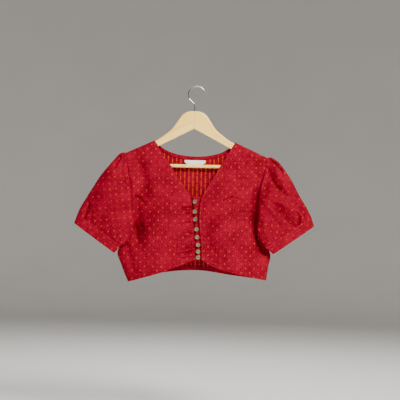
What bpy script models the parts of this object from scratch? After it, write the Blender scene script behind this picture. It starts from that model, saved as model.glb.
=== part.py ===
"""A cropped cotton choli blouse with puffed short sleeves, hanging on a wooden hanger.

Millimetres in the tables, metres in the scene. +X is the viewer's right, -Y the front, +Z up.
The origin is the inside top of the hanger's hook. Right and left in the names are the wearer's.
"""

import math
from collections import namedtuple

import bmesh
import bpy
import numpy as np
from mathutils import Vector

MM = 0.001
CLOTH = 1.2  # wall of the doubled cotton
TRIM = 1.0  # wall of the facing, the hem's turning and the label
TRIM_GAP = 0.4  # between them and the back that they are sewn to
SEAM = 0.3  # gap between pieces that are sewn together
BACK_EASE = 1.0  # more of it at the back of an armhole, where the sleeve leaves at an angle
UNDERARM_EASE = 0.3  # more of it where the side seam meets the armhole

HANGER_X = -5.5  # the wood's centre, a little beside the hook's
WOOD_THICK = 12.0
WIRE = 3.6
HOOK_RADIUS = 24.0  # to the wire's centre
ROD_RADIUS = 4.5
ROD_Z = -217.4
ROD_REACH = 180.0  # from the middle to each end, inside the wood
ROD_HOLE = 40.0  # long enough to run out of the wood's slanted underside
HOLE_GAP = 0.4  # round the rod and the stem
STEM_FOOT = -84.0  # where the hook's stem ends inside the wood
WOOD_ROUND = 3.0  # of the wood's edges

TURN = 10.0  # depth of the roll where the cloth goes over the hanger
SHOULDER_SLOPE = 0.455
UNDERARM = 0.60  # share of a panel's height where the armhole ends
SIDE_ROLL = 0.10  # share of a panel's width that rolls round at the side seam
SQUARENESS = 3.0  # of every roll: 2 would be a quarter of a circle
CUFF_OVER_SEAM = 0.014  # share of the cuff's depth that the seam gap takes

BUTTON_RADIUS = 6.4
BUTTON_THICK = 2.8
BUTTON_SIDES = 12
SHANK_RADIUS = 1.5
SHANK = 2.7
LOOP_RADIUS = 0.9
LOOP_TURN = 3.0  # radius of the loop round the button's shank
LOOP_ROOT = 3.4  # half the distance between the loop's two ends

MATERIALS = {  # colour, roughness, metallic
    "cotton": ((0.52, 0.006, 0.022, 1), 0.85, 0),
    "label": ((0.86, 0.85, 0.83, 1), 0.7, 0),
    "coconut": ((0.36, 0.28, 0.15, 1), 0.4, 0),
    "beech": ((0.82, 0.62, 0.38, 1), 0.45, 0),
    "steel": ((0.6, 0.6, 0.63, 1), 0.2, 1),
}

Edge = namedtuple("Edge", "share x z")
Section = namedtuple("Section", "share seam crease side bust middle")
Ring = namedtuple("Ring", "share outer_x outer_y outer_z inner_x inner_y inner_z front back aside")
Fold = namedtuple("Fold", "x0 z0 x1 z1 width depth")
Button = namedtuple("Button", "x z lean")

ACROSS = (0.0, 0.12, 0.30, 0.60, 1.0)  # where a Section's five depths lie across a panel

# The edge from the shoulder tip round the armhole and down the side seam, for each front.
ARMHOLE_RIGHT = [
    Edge(0.00, -190.7, -183.8),
    Edge(0.12, -185.5, -222),
    Edge(0.24, -177, -262),
    Edge(0.36, -171, -303),
    Edge(0.48, -168, -350),
    Edge(0.56, -168.5, -383),
    Edge(0.60, -173, -402),
    Edge(0.65, -183, -418),
    Edge(0.71, -197.5, -437),
    Edge(0.76, -207.5, -453),
    Edge(0.88, -196.2, -495),
    Edge(1.00, -178, -538.5),
]
ARMHOLE_LEFT = [
    Edge(0.00, 197.8, -190.0),
    Edge(0.12, 190, -226),
    Edge(0.24, 180, -263),
    Edge(0.36, 174, -301),
    Edge(0.48, 175, -350),
    Edge(0.56, 177, -383),
    Edge(0.60, 181, -402),
    Edge(0.65, 190.5, -418),
    Edge(0.71, 202.5, -436),
    Edge(0.76, 211, -452),
    Edge(0.88, 207, -488),
    Edge(1.00, 202, -526.5),
]
# How much further out the back's armhole lies than the front's.
BACK_ARMHOLE_OUT = [
    Edge(0.00, 0, 0),
    Edge(0.12, 3, 0),
    Edge(0.24, 7, 0),
    Edge(0.36, 9.5, 0),
    Edge(0.48, 8, 0),
    Edge(0.56, 4.5, 0),
    Edge(0.60, 0, 0),
    Edge(1.00, 0, 0),
]
# The neck and centre front edge of each front: share down the panel, corner at the V.
NECK_RIGHT = Edge(0.0, -113.4, -148.7)
NECK_LEFT = Edge(0.0, 108.3, -149.4)
V_SHARE = 0.515
CENTRE_RIGHT = [
    Edge(0.0, -12.5, -302),
    Edge(0.3, -5, -356),
    Edge(0.7, 1, -428),
    Edge(1.0, 4, -474),
]
CENTRE_LEFT = [
    Edge(0.0, 17.3, -302.5),
    Edge(0.3, 13, -354),
    Edge(0.5, 15.6, -390),
    Edge(0.75, 20.4, -434),
    Edge(1.0, 21.6, -473),
]
HEM_RIGHT = [Edge(0.0, -178, -538.5), Edge(0.5, -84, -510), Edge(1.0, 4, -474)]
HEM_LEFT = [Edge(0.0, 202, -526.5), Edge(0.5, 110, -509), Edge(1.0, 21.6, -473)]
BACK_HEM = [
    Edge(0.0, -178, -538.5),
    Edge(0.25, -84, -512.5),
    Edge(0.5, 13, -502),
    Edge(0.75, 108, -515.5),
    Edge(1.0, 202, -526.5),
]
# The back's top edge, from shoulder tip to shoulder tip; the two neck points are corners.
BACK_NECK = [
    Edge(0.00, -113.4, -148.7),
    Edge(0.16, -86, -172),
    Edge(0.50, -1, -190.5),
    Edge(0.84, 82, -172.5),
    Edge(1.00, 108.3, -149.4),
]
BACK_SHOULDER = 0.20  # share of the back's width that each shoulder seam takes

# Depths, front to back: how far each section's five points stand forward (-) or behind (+).
FRONT_DEPTH = [
    Section(0.00, -9.5, -9.5, -9.5, -9.5, -9.5),
    Section(0.12, -12, -12, -12, -13, -11),
    Section(0.25, -14, -13, -15, -20, -15),
    Section(0.40, -15, -12, -19, -29, -20),
    Section(0.52, -10.5, -10.5, -24, -35, -25),
    Section(0.60, -9.5, -10, -27, -37, -26.5),
    Section(0.70, -11, -14, -28, -36, -26.5),
    Section(0.85, -14, -21, -29, -33, -25.5),
    Section(1.00, -14, -21, -27, -29, -25),
]
BACK_DEPTH = [
    Section(0.00, 9.5, 9.5, 9.5, 9.5, 11),
    Section(0.12, 11, 11, 11.5, 12.5, 13),
    Section(0.25, 12, 12, 13.5, 15.5, 16),
    Section(0.40, 10, 12, 16, 19, 19),
    Section(0.52, 9, 12, 19, 22, 22),
    Section(0.60, 7, 11, 20, 24, 24),
    Section(0.70, 10, 18, 22, 25, 25),
    Section(0.85, 14, 19, 21, 23, 23),
    Section(1.00, 13, 17, 19, 20, 20),
]
SIDE_SEAM_DEPTH = [(0.0, 0.0), (0.60, -2.0), (0.66, -1.0), (0.72, 0.5), (0.85, 1.5), (1.0, 0.0)]

# Sleeve sections from armhole to cuff seam, each an oval between its outer and inner edge;
# aside is how far its back keeps out beside the body.
SLEEVE_RIGHT = [
    Ring(0.00, -190.7, 0, -183.8, -173, -2, -402, 12, 12, 0),
    Ring(0.07, -207, -1, -187, -169, -18, -404, 18, 15, 16),
    Ring(0.15, -224, -3, -205.5, -167, -22, -408, 23, 16, 24),
    Ring(0.35, -255, -7, -243, -172, -26, -418, 27, 15, 18),
    Ring(0.60, -288, -11, -296, -183, -28, -429, 24, 13, 8),
    Ring(0.85, -312, -14, -338, -192, -30, -437, 17, 11, 2),
    Ring(1.00, -319.3, -15, -354.5, -197.2, -30, -439.3, 12, 10, 0),
]
SLEEVE_LEFT = [
    Ring(0.00, 197.8, 0, -190.0, 181, -2, -402, 12, 12, 0),
    Ring(0.07, 209, -1, -189, 177, -18, -404, 18, 15, 16),
    Ring(0.15, 225, -3, -199, 174, -22, -407, 23, 16, 24),
    Ring(0.35, 257, -7, -238, 176, -26, -415, 27, 15, 18),
    Ring(0.60, 286.5, -11, -290, 184, -28, -426, 24, 13, 8),
    Ring(0.85, 312, -14, -332, 192, -30, -433, 17, 11, 2),
    Ring(1.00, 320.5, -15, -348.5, 196.3, -30, -436.2, 12, 10, 0),
]
# The cuff's lower edge, as one more oval for each sleeve.
HEM_RING_RIGHT = Ring(1.0, -328.3, -16, -381, -215.8, -31, -459.8, 12, 10, 0)
HEM_RING_LEFT = Ring(1.0, 329.3, -16, -375, 218.4, -31, -453.4, 12, 10, 0)

# Largest folds: a line from x0,z0 to x1,z1, its width, and its depth inwards (ridges below 0).
FOLDS_FRONT_RIGHT = [
    Fold(-176, -205, -128, -290, 15, 5.0),
    Fold(-158, -330, -140, -445, 11, 7.0),
    Fold(-150, -215, -100, -330, 16, -3.0),
    Fold(-120, -340, -105, -500, 22, -3.5),
    Fold(-170, -470, -160, -520, 10, 3.0),
    Fold(-75, -370, -70, -480, 18, 2.5),
]
FOLDS_FRONT_LEFT = [
    Fold(166, -295, 186, -455, 10, 7.0),
    Fold(95, -318, 60, -330, 12, 3.0),
    Fold(150, -230, 130, -330, 20, -3.0),
    Fold(38, -350, 40, -460, 13, 4.0),
    Fold(75, -360, 110, -480, 24, -4.0),
]
FOLDS_BACK = [
    Fold(-150, -230, -120, -420, 18, 4.0),
    Fold(150, -235, 128, -430, 18, 4.0),
    Fold(-40, -300, -60, -480, 24, -3.0),
    Fold(60, -290, 75, -470, 24, -3.0),
    Fold(5, -240, 8, -430, 22, 2.0),
]
FOLDS_SLEEVE_RIGHT = [
    Fold(-206, -200, -243, -245, 9, 5.0),
    Fold(-284, -330, -292, -352, 5, 4.0),
    Fold(-215, -240, -250, -330, 20, -4.0),
    Fold(-190, -300, -215, -410, 16, 4.0),
    Fold(-300, -300, -308, -345, 6, -3.0),
]
FOLDS_SLEEVE_LEFT = [
    Fold(203, -194, 214, -252, 8, 7.0),
    Fold(214, -252, 248, -296, 8, 5.0),
    Fold(209, -193, 262, -248, 8, 7.0),
    Fold(224, -215, 256, -285, 9, -5.0),
    Fold(198, -312, 262, -352, 14, -4.0),
    Fold(210, -345, 268, -384, 13, 6.0),
    Fold(283, -340, 287, -366, 4, 5.0),
    Fold(288, -322, 300, -352, 4, 5.0),
    Fold(294, -345, 297, -362, 4, -3.0),
]

GATHERS = 9  # soft pleats drawn into the buttoned edge of the right front
GATHER_DEPTH = 2.1
GATHER_REACH = 38.0
GATHER_RISE = 0.16  # how far each gather slants as it leaves the edge
GATHER_SWAY = 0.7  # how unevenly the gathers are spaced, and over what length that comes round
GATHER_SWAY_LONG = 31.0
GATHER_START = 0.06  # share of the panel's height in which they set in below the V
GATHER_EDGE = 0.45  # how deep they are at the sewn edge, and how far from it they are full
GATHER_FULL = 9.0
ROLL_FROM = 0.5  # share of the height from which the sides begin to roll to the seam
UNDERARM_REACH = 0.06
FOLD_END = 0.35  # depth of a fold at its ends, of its depth at the middle
FOLD_FROM_SIDE = 0.3  # shares across a panel in which folds set in from its edges
FOLD_FROM_CENTRE = 0.16
BACK_FOLD_FROM_SIDE = 0.4
STAND_LIFT = 2.4  # how far the left front comes forward beside the button stand
STAND_LIFT_OVER = 0.2
STAND_LIFT_REACH = 0.1
BEHIND_FROM, BEHIND_FULL = 0.42, 0.47  # turns round a sleeve between which its back eases out
BEHIND_LAST, BEHIND_TO = 0.88, 0.98
OFF_SEAM = 0.12  # share of a sleeve's length in which its folds set in
SHOULDER_COLUMNS = [0.084, 0.125, 0.164]
LINE_UP = 0.01  # rows closer than this to the V's corner give way to its own row

BUTTONS = [
    Button(1.1, -315.2, 0),
    Button(1.2, -341.9, 0),
    Button(3.1, -363.0, 0),
    Button(7.0, -390.4, 4),
    Button(9.2, -411.8, 4),
    Button(12.4, -432.7, 0),
    Button(12.9, -451.3, 14),
    Button(13.2, -467.0, 8),
]
STAND_TOP = -300.6
STAND_BOTTOM = -475.5
STAND_UNDERLAP = 9.0  # how far the stand runs in behind the right front
STAND_DEPTH = [(-302.0, -22.0), (-340.0, -22.6), (-420.0, -22.4), (-476.0, -21.0)]

FACING_WIDE = 9.5
HEM_TURN = 12.0
LABEL_TOP = 58.0
LABEL_FOOT = 40.0
LABEL_DOWN = 16.0

# Grid lines: how finely each piece is sampled.
FIRST_ROWS = [0.0, 0.0009, 0.009, 0.032]  # close where the cloth rolls over the hanger
SEAM_COLUMNS = [0.0, 0.0014, 0.03, 0.10]  # close where it rolls round at the side seam
FLAT_COLUMNS = [0.0, 0.033, 0.066, 0.10]
ARMHOLE_STEPS = 13
SIDE_STEPS = 8
FRONT_COLUMNS = 14
NECK_COLUMNS = [0.20, 0.2008, 0.207, 0.23, 0.29, 0.36, 0.43]  # close at the neck point
EVEN_COLUMNS = [0.20, 0.24, 0.28, 0.32, 0.36, 0.41, 0.455]
FACING_FROM = 9.9  # the back's column where the facing starts, clear of the wood
GATHER_ROWS = 28
SLEEVE_ROWS = 11
PLEATED_FROM = 3  # armhole points between which a sleeve has twice as many columns
PLEATED_TO = 11


def smooth(table, share):
    """The columns of a table at a share, on a smooth curve through its rows."""
    rows = np.array(table, float)
    keys, values = rows[:, 0], rows[:, 1:]
    slopes = np.gradient(values, keys, axis=0)
    i = int(np.clip(np.searchsorted(keys, share) - 1, 0, len(keys) - 2))
    span = keys[i + 1] - keys[i]
    f = (share - keys[i]) / span
    start = (1 + 2 * f) * (1 - f) ** 2 * values[i] + f * (1 - f) ** 2 * span * slopes[i]
    end = f * f * (3 - 2 * f) * values[i + 1] + f * f * (f - 1) * span * slopes[i + 1]
    return start + end


def rounded(f):
    """A quarter round that starts steep: 0 at 0, level from 1 on."""
    return (1 - (1 - min(max(f, 0.0), 1.0)) ** SQUARENESS) ** (1 / SQUARENESS)


def smoothstep(f):
    f = min(max(f, 0.0), 1.0)
    return f * f * (3 - 2 * f)


def panel_shares():
    """The shares of the rows that every panel's outer edge is sampled at."""
    down = (UNDERARM - FIRST_ROWS[-1]) / (ARMHOLE_STEPS - len(FIRST_ROWS) + 1)
    first = [FIRST_ROWS[-1] + down * i for i in range(1, ARMHOLE_STEPS - len(FIRST_ROWS) + 2)]
    rest = [UNDERARM + (1 - UNDERARM) * (i + 1) / SIDE_STEPS for i in range(SIDE_STEPS)]
    return FIRST_ROWS + first + rest


SHARES = panel_shares()


def over_hanger(x, z):
    """How far the cloth has turned from lying on the hanger (0) to hanging beside it (1)."""
    if x < HANGER_X:
        line = NECK_RIGHT.z + (x - NECK_RIGHT.x) * SHOULDER_SLOPE
    else:
        line = NECK_LEFT.z - (x - NECK_LEFT.x) * SHOULDER_SLOPE
    return rounded((line - z) / TURN)


def across_depth(table, share, s):
    """The depth at s across a panel, between the five stations of its section."""
    depths = smooth(table, share)
    return float(smooth(list(zip(ACROSS, depths)), s)[0])


def roll_to_seam(depth, from_side, t):
    """Below the armhole a panel rolls round to the side seam; above it its edge stays open."""
    depths = [float(smooth(SIDE_SEAM_DEPTH, max(share, UNDERARM))[0]) for share in SHARES]
    seam = float(np.interp(t, SHARES, depths))
    rolled = seam + (depth - seam) * rounded(from_side / SIDE_ROLL)
    share = smoothstep((t - ROLL_FROM) / (UNDERARM - ROLL_FROM))
    return (1 - share) * depth + share * rolled


def seam_half(t):
    """Half the gap between the front and the back."""
    return SEAM / 2 + UNDERARM_EASE * math.exp(-(((t - UNDERARM) / UNDERARM_REACH) ** 2))


def columns_at(columns, t):
    """A panel's columns at a height: those by the side seam close up below the armhole."""
    share = smoothstep((t - ROLL_FROM) / (UNDERARM - ROLL_FROM))
    near = [(1 - share) * a + share * b for a, b in zip(FLAT_COLUMNS, SEAM_COLUMNS)]
    return near + columns


def fold_depth(folds, x, z):
    """How far the folds near a point push the cloth inwards."""
    total = 0.0
    for fold in folds:
        along = np.array([fold.x1 - fold.x0, fold.z1 - fold.z0])
        off = np.array([x - fold.x0, z - fold.z0])
        f = float(off @ along / (along @ along))
        beside = float(np.linalg.norm(off - along * min(max(f, 0.0), 1.0)))
        fade = FOLD_END + (1 - FOLD_END) * math.sin(math.pi * min(max(f, 0.0), 1.0))
        total += fold.depth * fade * math.exp(-((beside / fold.width) ** 2))
    return total


def coons(top, bottom, left, right, s, t):
    """A point of the flat patch between four edges, each given as x and z."""
    edges = (1 - t) * top(s) + t * bottom(s) + (1 - s) * left(t) + s * right(t)
    upper = (1 - s) * left(0.0) + s * right(0.0)
    lower = (1 - s) * left(1.0) + s * right(1.0)
    return edges - (1 - t) * upper - t * lower


def outer_edge(table, t):
    """A panel's outer edge, straight between the rows that the neighbouring pieces share."""
    i = int(np.clip(np.searchsorted(SHARES, t) - 1, 0, len(SHARES) - 2))
    f = (t - SHARES[i]) / (SHARES[i + 1] - SHARES[i])
    return (1 - f) * smooth(table, SHARES[i]) + f * smooth(table, SHARES[i + 1])


def centre_edge(neck, centre, t):
    """The V neckline and then the centre front edge."""
    if t < V_SHARE:
        f = t / V_SHARE
        corner = np.array(centre[0][1:], float)
        return (1 - f) * np.array(neck[1:], float) + f * corner
    return smooth(centre, (t - V_SHARE) / (1 - V_SHARE))


def front_point(side, s, t):
    """A point of a front's outer face; s runs from the side to the centre, t downwards."""
    armhole = ARMHOLE_RIGHT if side < 0 else ARMHOLE_LEFT
    neck = NECK_RIGHT if side < 0 else NECK_LEFT
    centre = CENTRE_RIGHT if side < 0 else CENTRE_LEFT
    hem = HEM_RIGHT if side < 0 else HEM_LEFT
    folds = FOLDS_FRONT_RIGHT if side < 0 else FOLDS_FRONT_LEFT
    x, z = coons(
        lambda a: (1 - a) * outer_edge(armhole, 0.0) + a * centre_edge(neck, centre, 0.0),
        lambda a: smooth(hem, a),
        lambda b: outer_edge(armhole, b),
        lambda b: centre_edge(neck, centre, b),
        s,
        t,
    )
    depth = across_depth(FRONT_DEPTH, t, s)
    depth = roll_to_seam(depth, s, t)
    inside = math.sin(math.pi * min(s / FOLD_FROM_SIDE, 0.5))
    inside *= math.sin(math.pi * min((1 - s) / FOLD_FROM_CENTRE, 0.5))
    y = depth * over_hanger(x, z) + fold_depth(folds, x, z) * inside * over_hanger(x, z)
    if side < 0:
        y += gather_depth(centre, x, z, t)
    else:
        lift = smoothstep((t - V_SHARE) / STAND_LIFT_OVER)
        y -= STAND_LIFT * lift * math.exp(-(((1 - s) / STAND_LIFT_REACH) ** 2))
    return np.array([x, y - seam_half(t), z])


def gather_depth(centre, x, z, t):
    """The waves that the gathered edge sends into the right front."""
    if t < V_SHARE:
        return 0.0
    edge_x = centre_edge(NECK_RIGHT, centre, t)[0]
    away = max(edge_x - x, 0.0)
    length = centre[0].z - centre[-1].z
    turn = (centre[0].z - z - GATHER_RISE * away) / length * GATHERS
    turn += GATHER_SWAY * math.sin(z / GATHER_SWAY_LONG)
    fade = smoothstep((t - V_SHARE) / GATHER_START) * math.exp(-((away / GATHER_REACH) ** 1.5))
    edge_fade = GATHER_EDGE + (1 - GATHER_EDGE) * smoothstep(away / GATHER_FULL)
    return GATHER_DEPTH * fade * edge_fade * math.sin(2 * math.pi * turn)


def back_edge(side, t):
    """The back's outer edge, which leaves the front's along the armhole."""
    armhole = ARMHOLE_RIGHT if side < 0 else ARMHOLE_LEFT
    out = outer_edge(BACK_ARMHOLE_OUT, t) if t < UNDERARM else np.zeros(2)
    return outer_edge(armhole, t) + np.array([side * out[0], 0.0])


def back_top(s):
    """Shoulder seam, neck curve, shoulder seam."""
    if s < BACK_SHOULDER:
        f = s / BACK_SHOULDER
        return (1 - f) * back_edge(-1, 0.0) + f * np.array(NECK_RIGHT[1:], float)
    if s > 1 - BACK_SHOULDER:
        f = (1 - s) / BACK_SHOULDER
        return (1 - f) * back_edge(1, 0.0) + f * np.array(NECK_LEFT[1:], float)
    return smooth(BACK_NECK, (s - BACK_SHOULDER) / (1 - 2 * BACK_SHOULDER))


def back_point(s, t):
    """A point of the back's outer face; s runs from the wearer's right to the left."""
    x, z = coons(
        back_top,
        lambda a: smooth(BACK_HEM, a),
        lambda b: back_edge(-1, b),
        lambda b: back_edge(1, b),
        s,
        t,
    )
    from_side = 1 - abs(2 * s - 1)
    depth = across_depth(BACK_DEPTH, t, from_side)
    depth = roll_to_seam(depth, from_side, t)
    inside = math.sin(math.pi * min(from_side / BACK_FOLD_FROM_SIDE, 0.5))
    y = (depth - fold_depth(FOLDS_BACK, x, z) * inside) * over_hanger(x, z)
    return np.array([x, y + seam_half(t), z])


def armhole_ring(side):
    """The armhole's points, down the front from the shoulder tip and up the back."""
    shares = SHARES[: ARMHOLE_STEPS + 1]
    front = [front_point(side, 0.0, t) for t in shares]
    back = [back_point(0.0 if side < 0 else 1.0, t) for t in reversed(shares)]
    return np.array(front + back[1:-1])


def sleeve_point(side, ring, s, v):
    """A point of a sleeve's outer face: s runs to the cuff, v from the top over the front."""
    table = SLEEVE_RIGHT if side < 0 else SLEEVE_LEFT
    folds = FOLDS_SLEEVE_RIGHT if side < 0 else FOLDS_SLEEVE_LEFT
    oval = oval_point(Ring(s, *smooth(table, s)), v)
    place = v * len(ring)
    i = int(place) % len(ring)
    f = place - int(place)
    seam = (1 - f) * ring[i] + f * ring[(i + 1) % len(ring)]
    point = oval + (seam - oval_point(Ring(0.0, *smooth(table, 0.0)), v)) * (1 - s) ** 2
    front = max(math.sin(2 * math.pi * v), 0.0)
    behind = smoothstep((v - BEHIND_FROM) / (BEHIND_FULL - BEHIND_FROM))
    behind *= smoothstep((BEHIND_TO - v) / (BEHIND_TO - BEHIND_LAST))
    point[0] += side * (SEAM + BACK_EASE * behind) * (1 - s)
    point[1] += fold_depth(folds, point[0], point[2]) * front ** 0.5 * rounded(s / OFF_SEAM)
    return point


def oval_point(ring, v):
    """A point at turn v of the oval that a Ring names."""
    turn = 2 * math.pi * v
    share = (1 + math.cos(turn)) / 2
    x = share * ring.outer_x + (1 - share) * ring.inner_x
    y = share * ring.outer_y + (1 - share) * ring.inner_y
    z = share * ring.outer_z + (1 - share) * ring.inner_z
    if math.sin(turn) > 0:
        return np.array([x, y - ring.front * math.sin(turn), z])
    x += math.copysign(ring.aside, ring.outer_x) * -math.sin(turn) * (1 - share)
    return np.array([x, y - ring.back * math.sin(turn), z])


def cuff_point(side, s, v):
    """A point of a cuff's outer face; s runs from its seam to the sleeve's hem."""
    top = SLEEVE_RIGHT[-1] if side < 0 else SLEEVE_LEFT[-1]
    hem = HEM_RING_RIGHT if side < 0 else HEM_RING_LEFT
    share = CUFF_OVER_SEAM + (1 - CUFF_OVER_SEAM) * s
    ring = Ring(1.0, *((1 - share) * np.array(top[1:]) + share * np.array(hem[1:])))
    return oval_point(ring, v)


def turns(points):
    """Turns round a sleeve: one at each point of the armhole, two where the pleats lie."""
    whole = [i / points for i in range(points + 1)]
    halves = [(i + 0.5) / points for i in range(PLEATED_FROM, PLEATED_TO)]
    return sorted(whole + halves)


def material(name):
    colour, roughness, metallic = MATERIALS[name]
    made = bpy.data.materials.get(name) or bpy.data.materials.new(name)
    made.use_nodes = True
    shader = made.node_tree.nodes["Principled BSDF"]
    shader.inputs["Base Color"].default_value = colour
    shader.inputs["Roughness"].default_value = roughness
    shader.inputs["Metallic"].default_value = metallic
    return made


def add_object(name, data, finish):
    made = bpy.data.objects.new(name, data)
    made.data.materials.append(material(finish))
    blouse.objects.link(made)
    return made


def cloth_sheet(name, points, outwards, thick=CLOTH, finish="cotton", tube=False):
    """A grid of outer points given a wall inwards; outwards is the way that its middle faces."""
    rows, columns = points.shape[:2]
    mesh = bmesh.new()
    bmesh.ops.create_grid(mesh, x_segments=columns - 1, y_segments=rows - 1, size=1)
    mesh.verts.ensure_lookup_table()
    for vertex in mesh.verts:
        column = round((vertex.co.x + 1) / 2 * (columns - 1))
        row = round((vertex.co.y + 1) / 2 * (rows - 1))
        vertex.co = Vector(points[row, column]) * MM
    if tube:
        bmesh.ops.remove_doubles(mesh, verts=mesh.verts, dist=0.00001)
    mesh.faces.ensure_lookup_table()
    mesh.normal_update()
    facing = sum((face.normal * face.calc_area() for face in mesh.faces), Vector())
    if tube:
        facing = min(mesh.faces, key=lambda face: face.calc_center_median().y).normal
    if facing.dot(Vector(outwards)) < 0:
        bmesh.ops.reverse_faces(mesh, faces=mesh.faces)
    data = bpy.data.meshes.new(name)
    mesh.to_mesh(data)
    mesh.free()
    data.shade_smooth()
    sheet = add_object(name, data, finish)
    wall = sheet.modifiers.new("wall", "SOLIDIFY")
    wall.thickness = thick * MM
    wall.offset = -1
    wall.use_quality_normals = True


def grid_of(point, rows, columns):
    """The points of a function of s and t on given grid lines; columns may depend on t."""
    if callable(columns):
        return np.array([[point(s, t) for s in columns(t)] for t in rows])
    return np.array([[point(s, t) for s in columns] for t in rows])


def on_grid(grid, row, column):
    """A point and the outward normal of a sampled panel, between its own points."""
    i = min(int(row), grid.shape[0] - 2)
    j = min(int(column), grid.shape[1] - 2)
    f, g = row - i, column - j
    upper = (1 - g) * grid[i, j] + g * grid[i, j + 1]
    lower = (1 - g) * grid[i + 1, j] + g * grid[i + 1, j + 1]
    down = lower - upper
    across = (1 - f) * (grid[i, j + 1] - grid[i, j]) + f * (grid[i + 1, j + 1] - grid[i + 1, j])
    normal = np.cross(down, across)
    return (1 - f) * upper + f * lower, normal / np.linalg.norm(normal)


def build_fronts():
    steps = FRONT_COLUMNS - len(FLAT_COLUMNS) + 1
    inner = [SIDE_ROLL + (1 - SIDE_ROLL) * (i + 1) / steps for i in range(steps)]
    above = [share for share in SHARES if share < V_SHARE - LINE_UP]
    below = [V_SHARE + (1 - V_SHARE) * i / GATHER_ROWS for i in range(GATHER_ROWS + 1)]
    rows = above + below
    right = grid_of(lambda s, t: front_point(-1, s, t), rows, lambda t: columns_at(inner, t))
    plain = [share for share in SHARES if share > V_SHARE + LINE_UP]
    rows = above + [V_SHARE] + plain
    left = grid_of(lambda s, t: front_point(1, s, t), rows, lambda t: columns_at(inner, t))
    cloth_sheet("front_right", right, (0, -1, 0))
    cloth_sheet("front_left", left, (0, -1, 0))


def back_columns(t):
    """Columns across the back, with one on each neck point and some close beside it."""
    share = smoothstep(t / 0.1)
    neck = [(1 - share) * a + share * b for a, b in zip(NECK_COLUMNS, EVEN_COLUMNS)]
    roll = [s / 2 for s in columns_at([], t)]
    left = roll + SHOULDER_COLUMNS + neck + [0.5]
    return left + [1 - s for s in reversed(left[:-1])]


def build_back():
    grid = grid_of(back_point, SHARES, back_columns)
    cloth_sheet("back", grid, (0, 1, 0))
    return grid


def strip_inside(name, grid, rows, columns):
    """A strip that lies on the inside of a panel, made from the panel's own points."""
    points = []
    for row in rows:
        line = []
        for column in columns:
            place, normal = on_grid(grid, row(column), column)
            outward = normal if normal[1] > 0 else -normal
            line.append(place - outward * (CLOTH + TRIM_GAP))
        points.append(line)
    cloth_sheet(name, np.array(points), (0, 1, 0), TRIM)


def rows_below_neck(grid, column, drop):
    """The row of a panel's grid that lies a drop below its top edge in this column."""
    top, _ = on_grid(grid, 0, column)
    row = 0.0
    while row < grid.shape[0] - 1 and top[2] - on_grid(grid, row, column)[0][2] < drop:
        row += 0.02
    return row


def rows_above_hem(grid, column, rise):
    """The row of a panel's grid that lies a rise above its hem in this column."""
    foot, _ = on_grid(grid, grid.shape[0] - 1.0001, column)
    row = grid.shape[0] - 1.0001
    while row > 0 and on_grid(grid, row, column)[0][2] - foot[2] < rise:
        row -= 0.02
    return row


def build_inside_of_back(grid):
    """The bias facing of the neck, the turned-up hem and the label, where they show."""
    last = grid.shape[1] - 1
    neck_columns = list(np.linspace(FACING_FROM, last - FACING_FROM, 21))
    strip_inside(
        "neck_facing",
        grid,
        [lambda c: rows_below_neck(grid, c, 0.6), lambda c: rows_below_neck(grid, c, FACING_WIDE)],
        neck_columns,
    )
    hem_columns = list(np.arange(4.0, last - 3.9, 1.0))
    strip_inside(
        "hem_turn",
        grid,
        [lambda c: rows_above_hem(grid, c, HEM_TURN), lambda c: rows_above_hem(grid, c, 0.6)],
        hem_columns,
    )


def build_label(grid):
    """A plain woven label with mitred ends, hung from the neck facing."""
    middle = (grid.shape[1] - 1) / 2
    _, normal = on_grid(grid, rows_below_neck(grid, middle, FACING_WIDE + 6), middle)
    outward = normal if normal[1] > 0 else -normal
    foot, _ = on_grid(grid, rows_below_neck(grid, middle, FACING_WIDE + LABEL_DOWN), middle)
    top, _ = on_grid(grid, rows_below_neck(grid, middle, FACING_WIDE + 0.8), middle)
    rows = []
    for place, width in ((top, LABEL_TOP), (foot, LABEL_FOOT)):
        start = place - outward * (CLOTH + 2 * TRIM_GAP + 0.2)
        rows.append([start + np.array([x * width, 0, 0]) for x in np.linspace(-0.5, 0.5, 5)])
    cloth_sheet("neck_label", np.array(rows), (0, 1, 0), TRIM, "label")


def build_sleeves():
    for side, name in ((-1, "right"), (1, "left")):
        ring = armhole_ring(side)
        rows = [(i / SLEEVE_ROWS) ** 1.1 for i in range(SLEEVE_ROWS + 1)]
        round_sleeve = turns(len(ring))
        sleeve = grid_of(lambda v, s: sleeve_point(side, ring, s, v), rows, round_sleeve)
        cloth_sheet("sleeve_" + name, sleeve, (0, -1, 0), tube=True)
        cuff = grid_of(lambda v, s: cuff_point(side, s, v), (0.0, 1.0), round_sleeve)
        cloth_sheet("cuff_" + name, cuff, (0, -1, 0), tube=True)


def stand_depth(z):
    heights, depths = zip(*reversed(STAND_DEPTH))
    return float(np.interp(z, heights, depths))


def build_stand():
    """The strip that carries the buttons, sewn to the left front and lapped by the right."""
    rows = []
    for z in np.linspace(STAND_TOP, STAND_BOTTOM, 13):
        share = (CENTRE_RIGHT[0].z - z) / (CENTRE_RIGHT[0].z - CENTRE_RIGHT[-1].z)
        start = smooth(CENTRE_RIGHT, min(max(share, 0.0), 1.0))[0] - STAND_UNDERLAP
        share = (CENTRE_LEFT[0].z - z) / (CENTRE_LEFT[0].z - CENTRE_LEFT[-1].z)
        end = smooth(CENTRE_LEFT, min(max(share, 0.0), 1.0))[0] - 0.6
        rows.append([(x, stand_depth(z), z) for x in np.linspace(start, end, 4)])
    cloth_sheet("button_stand", np.array(rows), (0, -1, 0))


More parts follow.
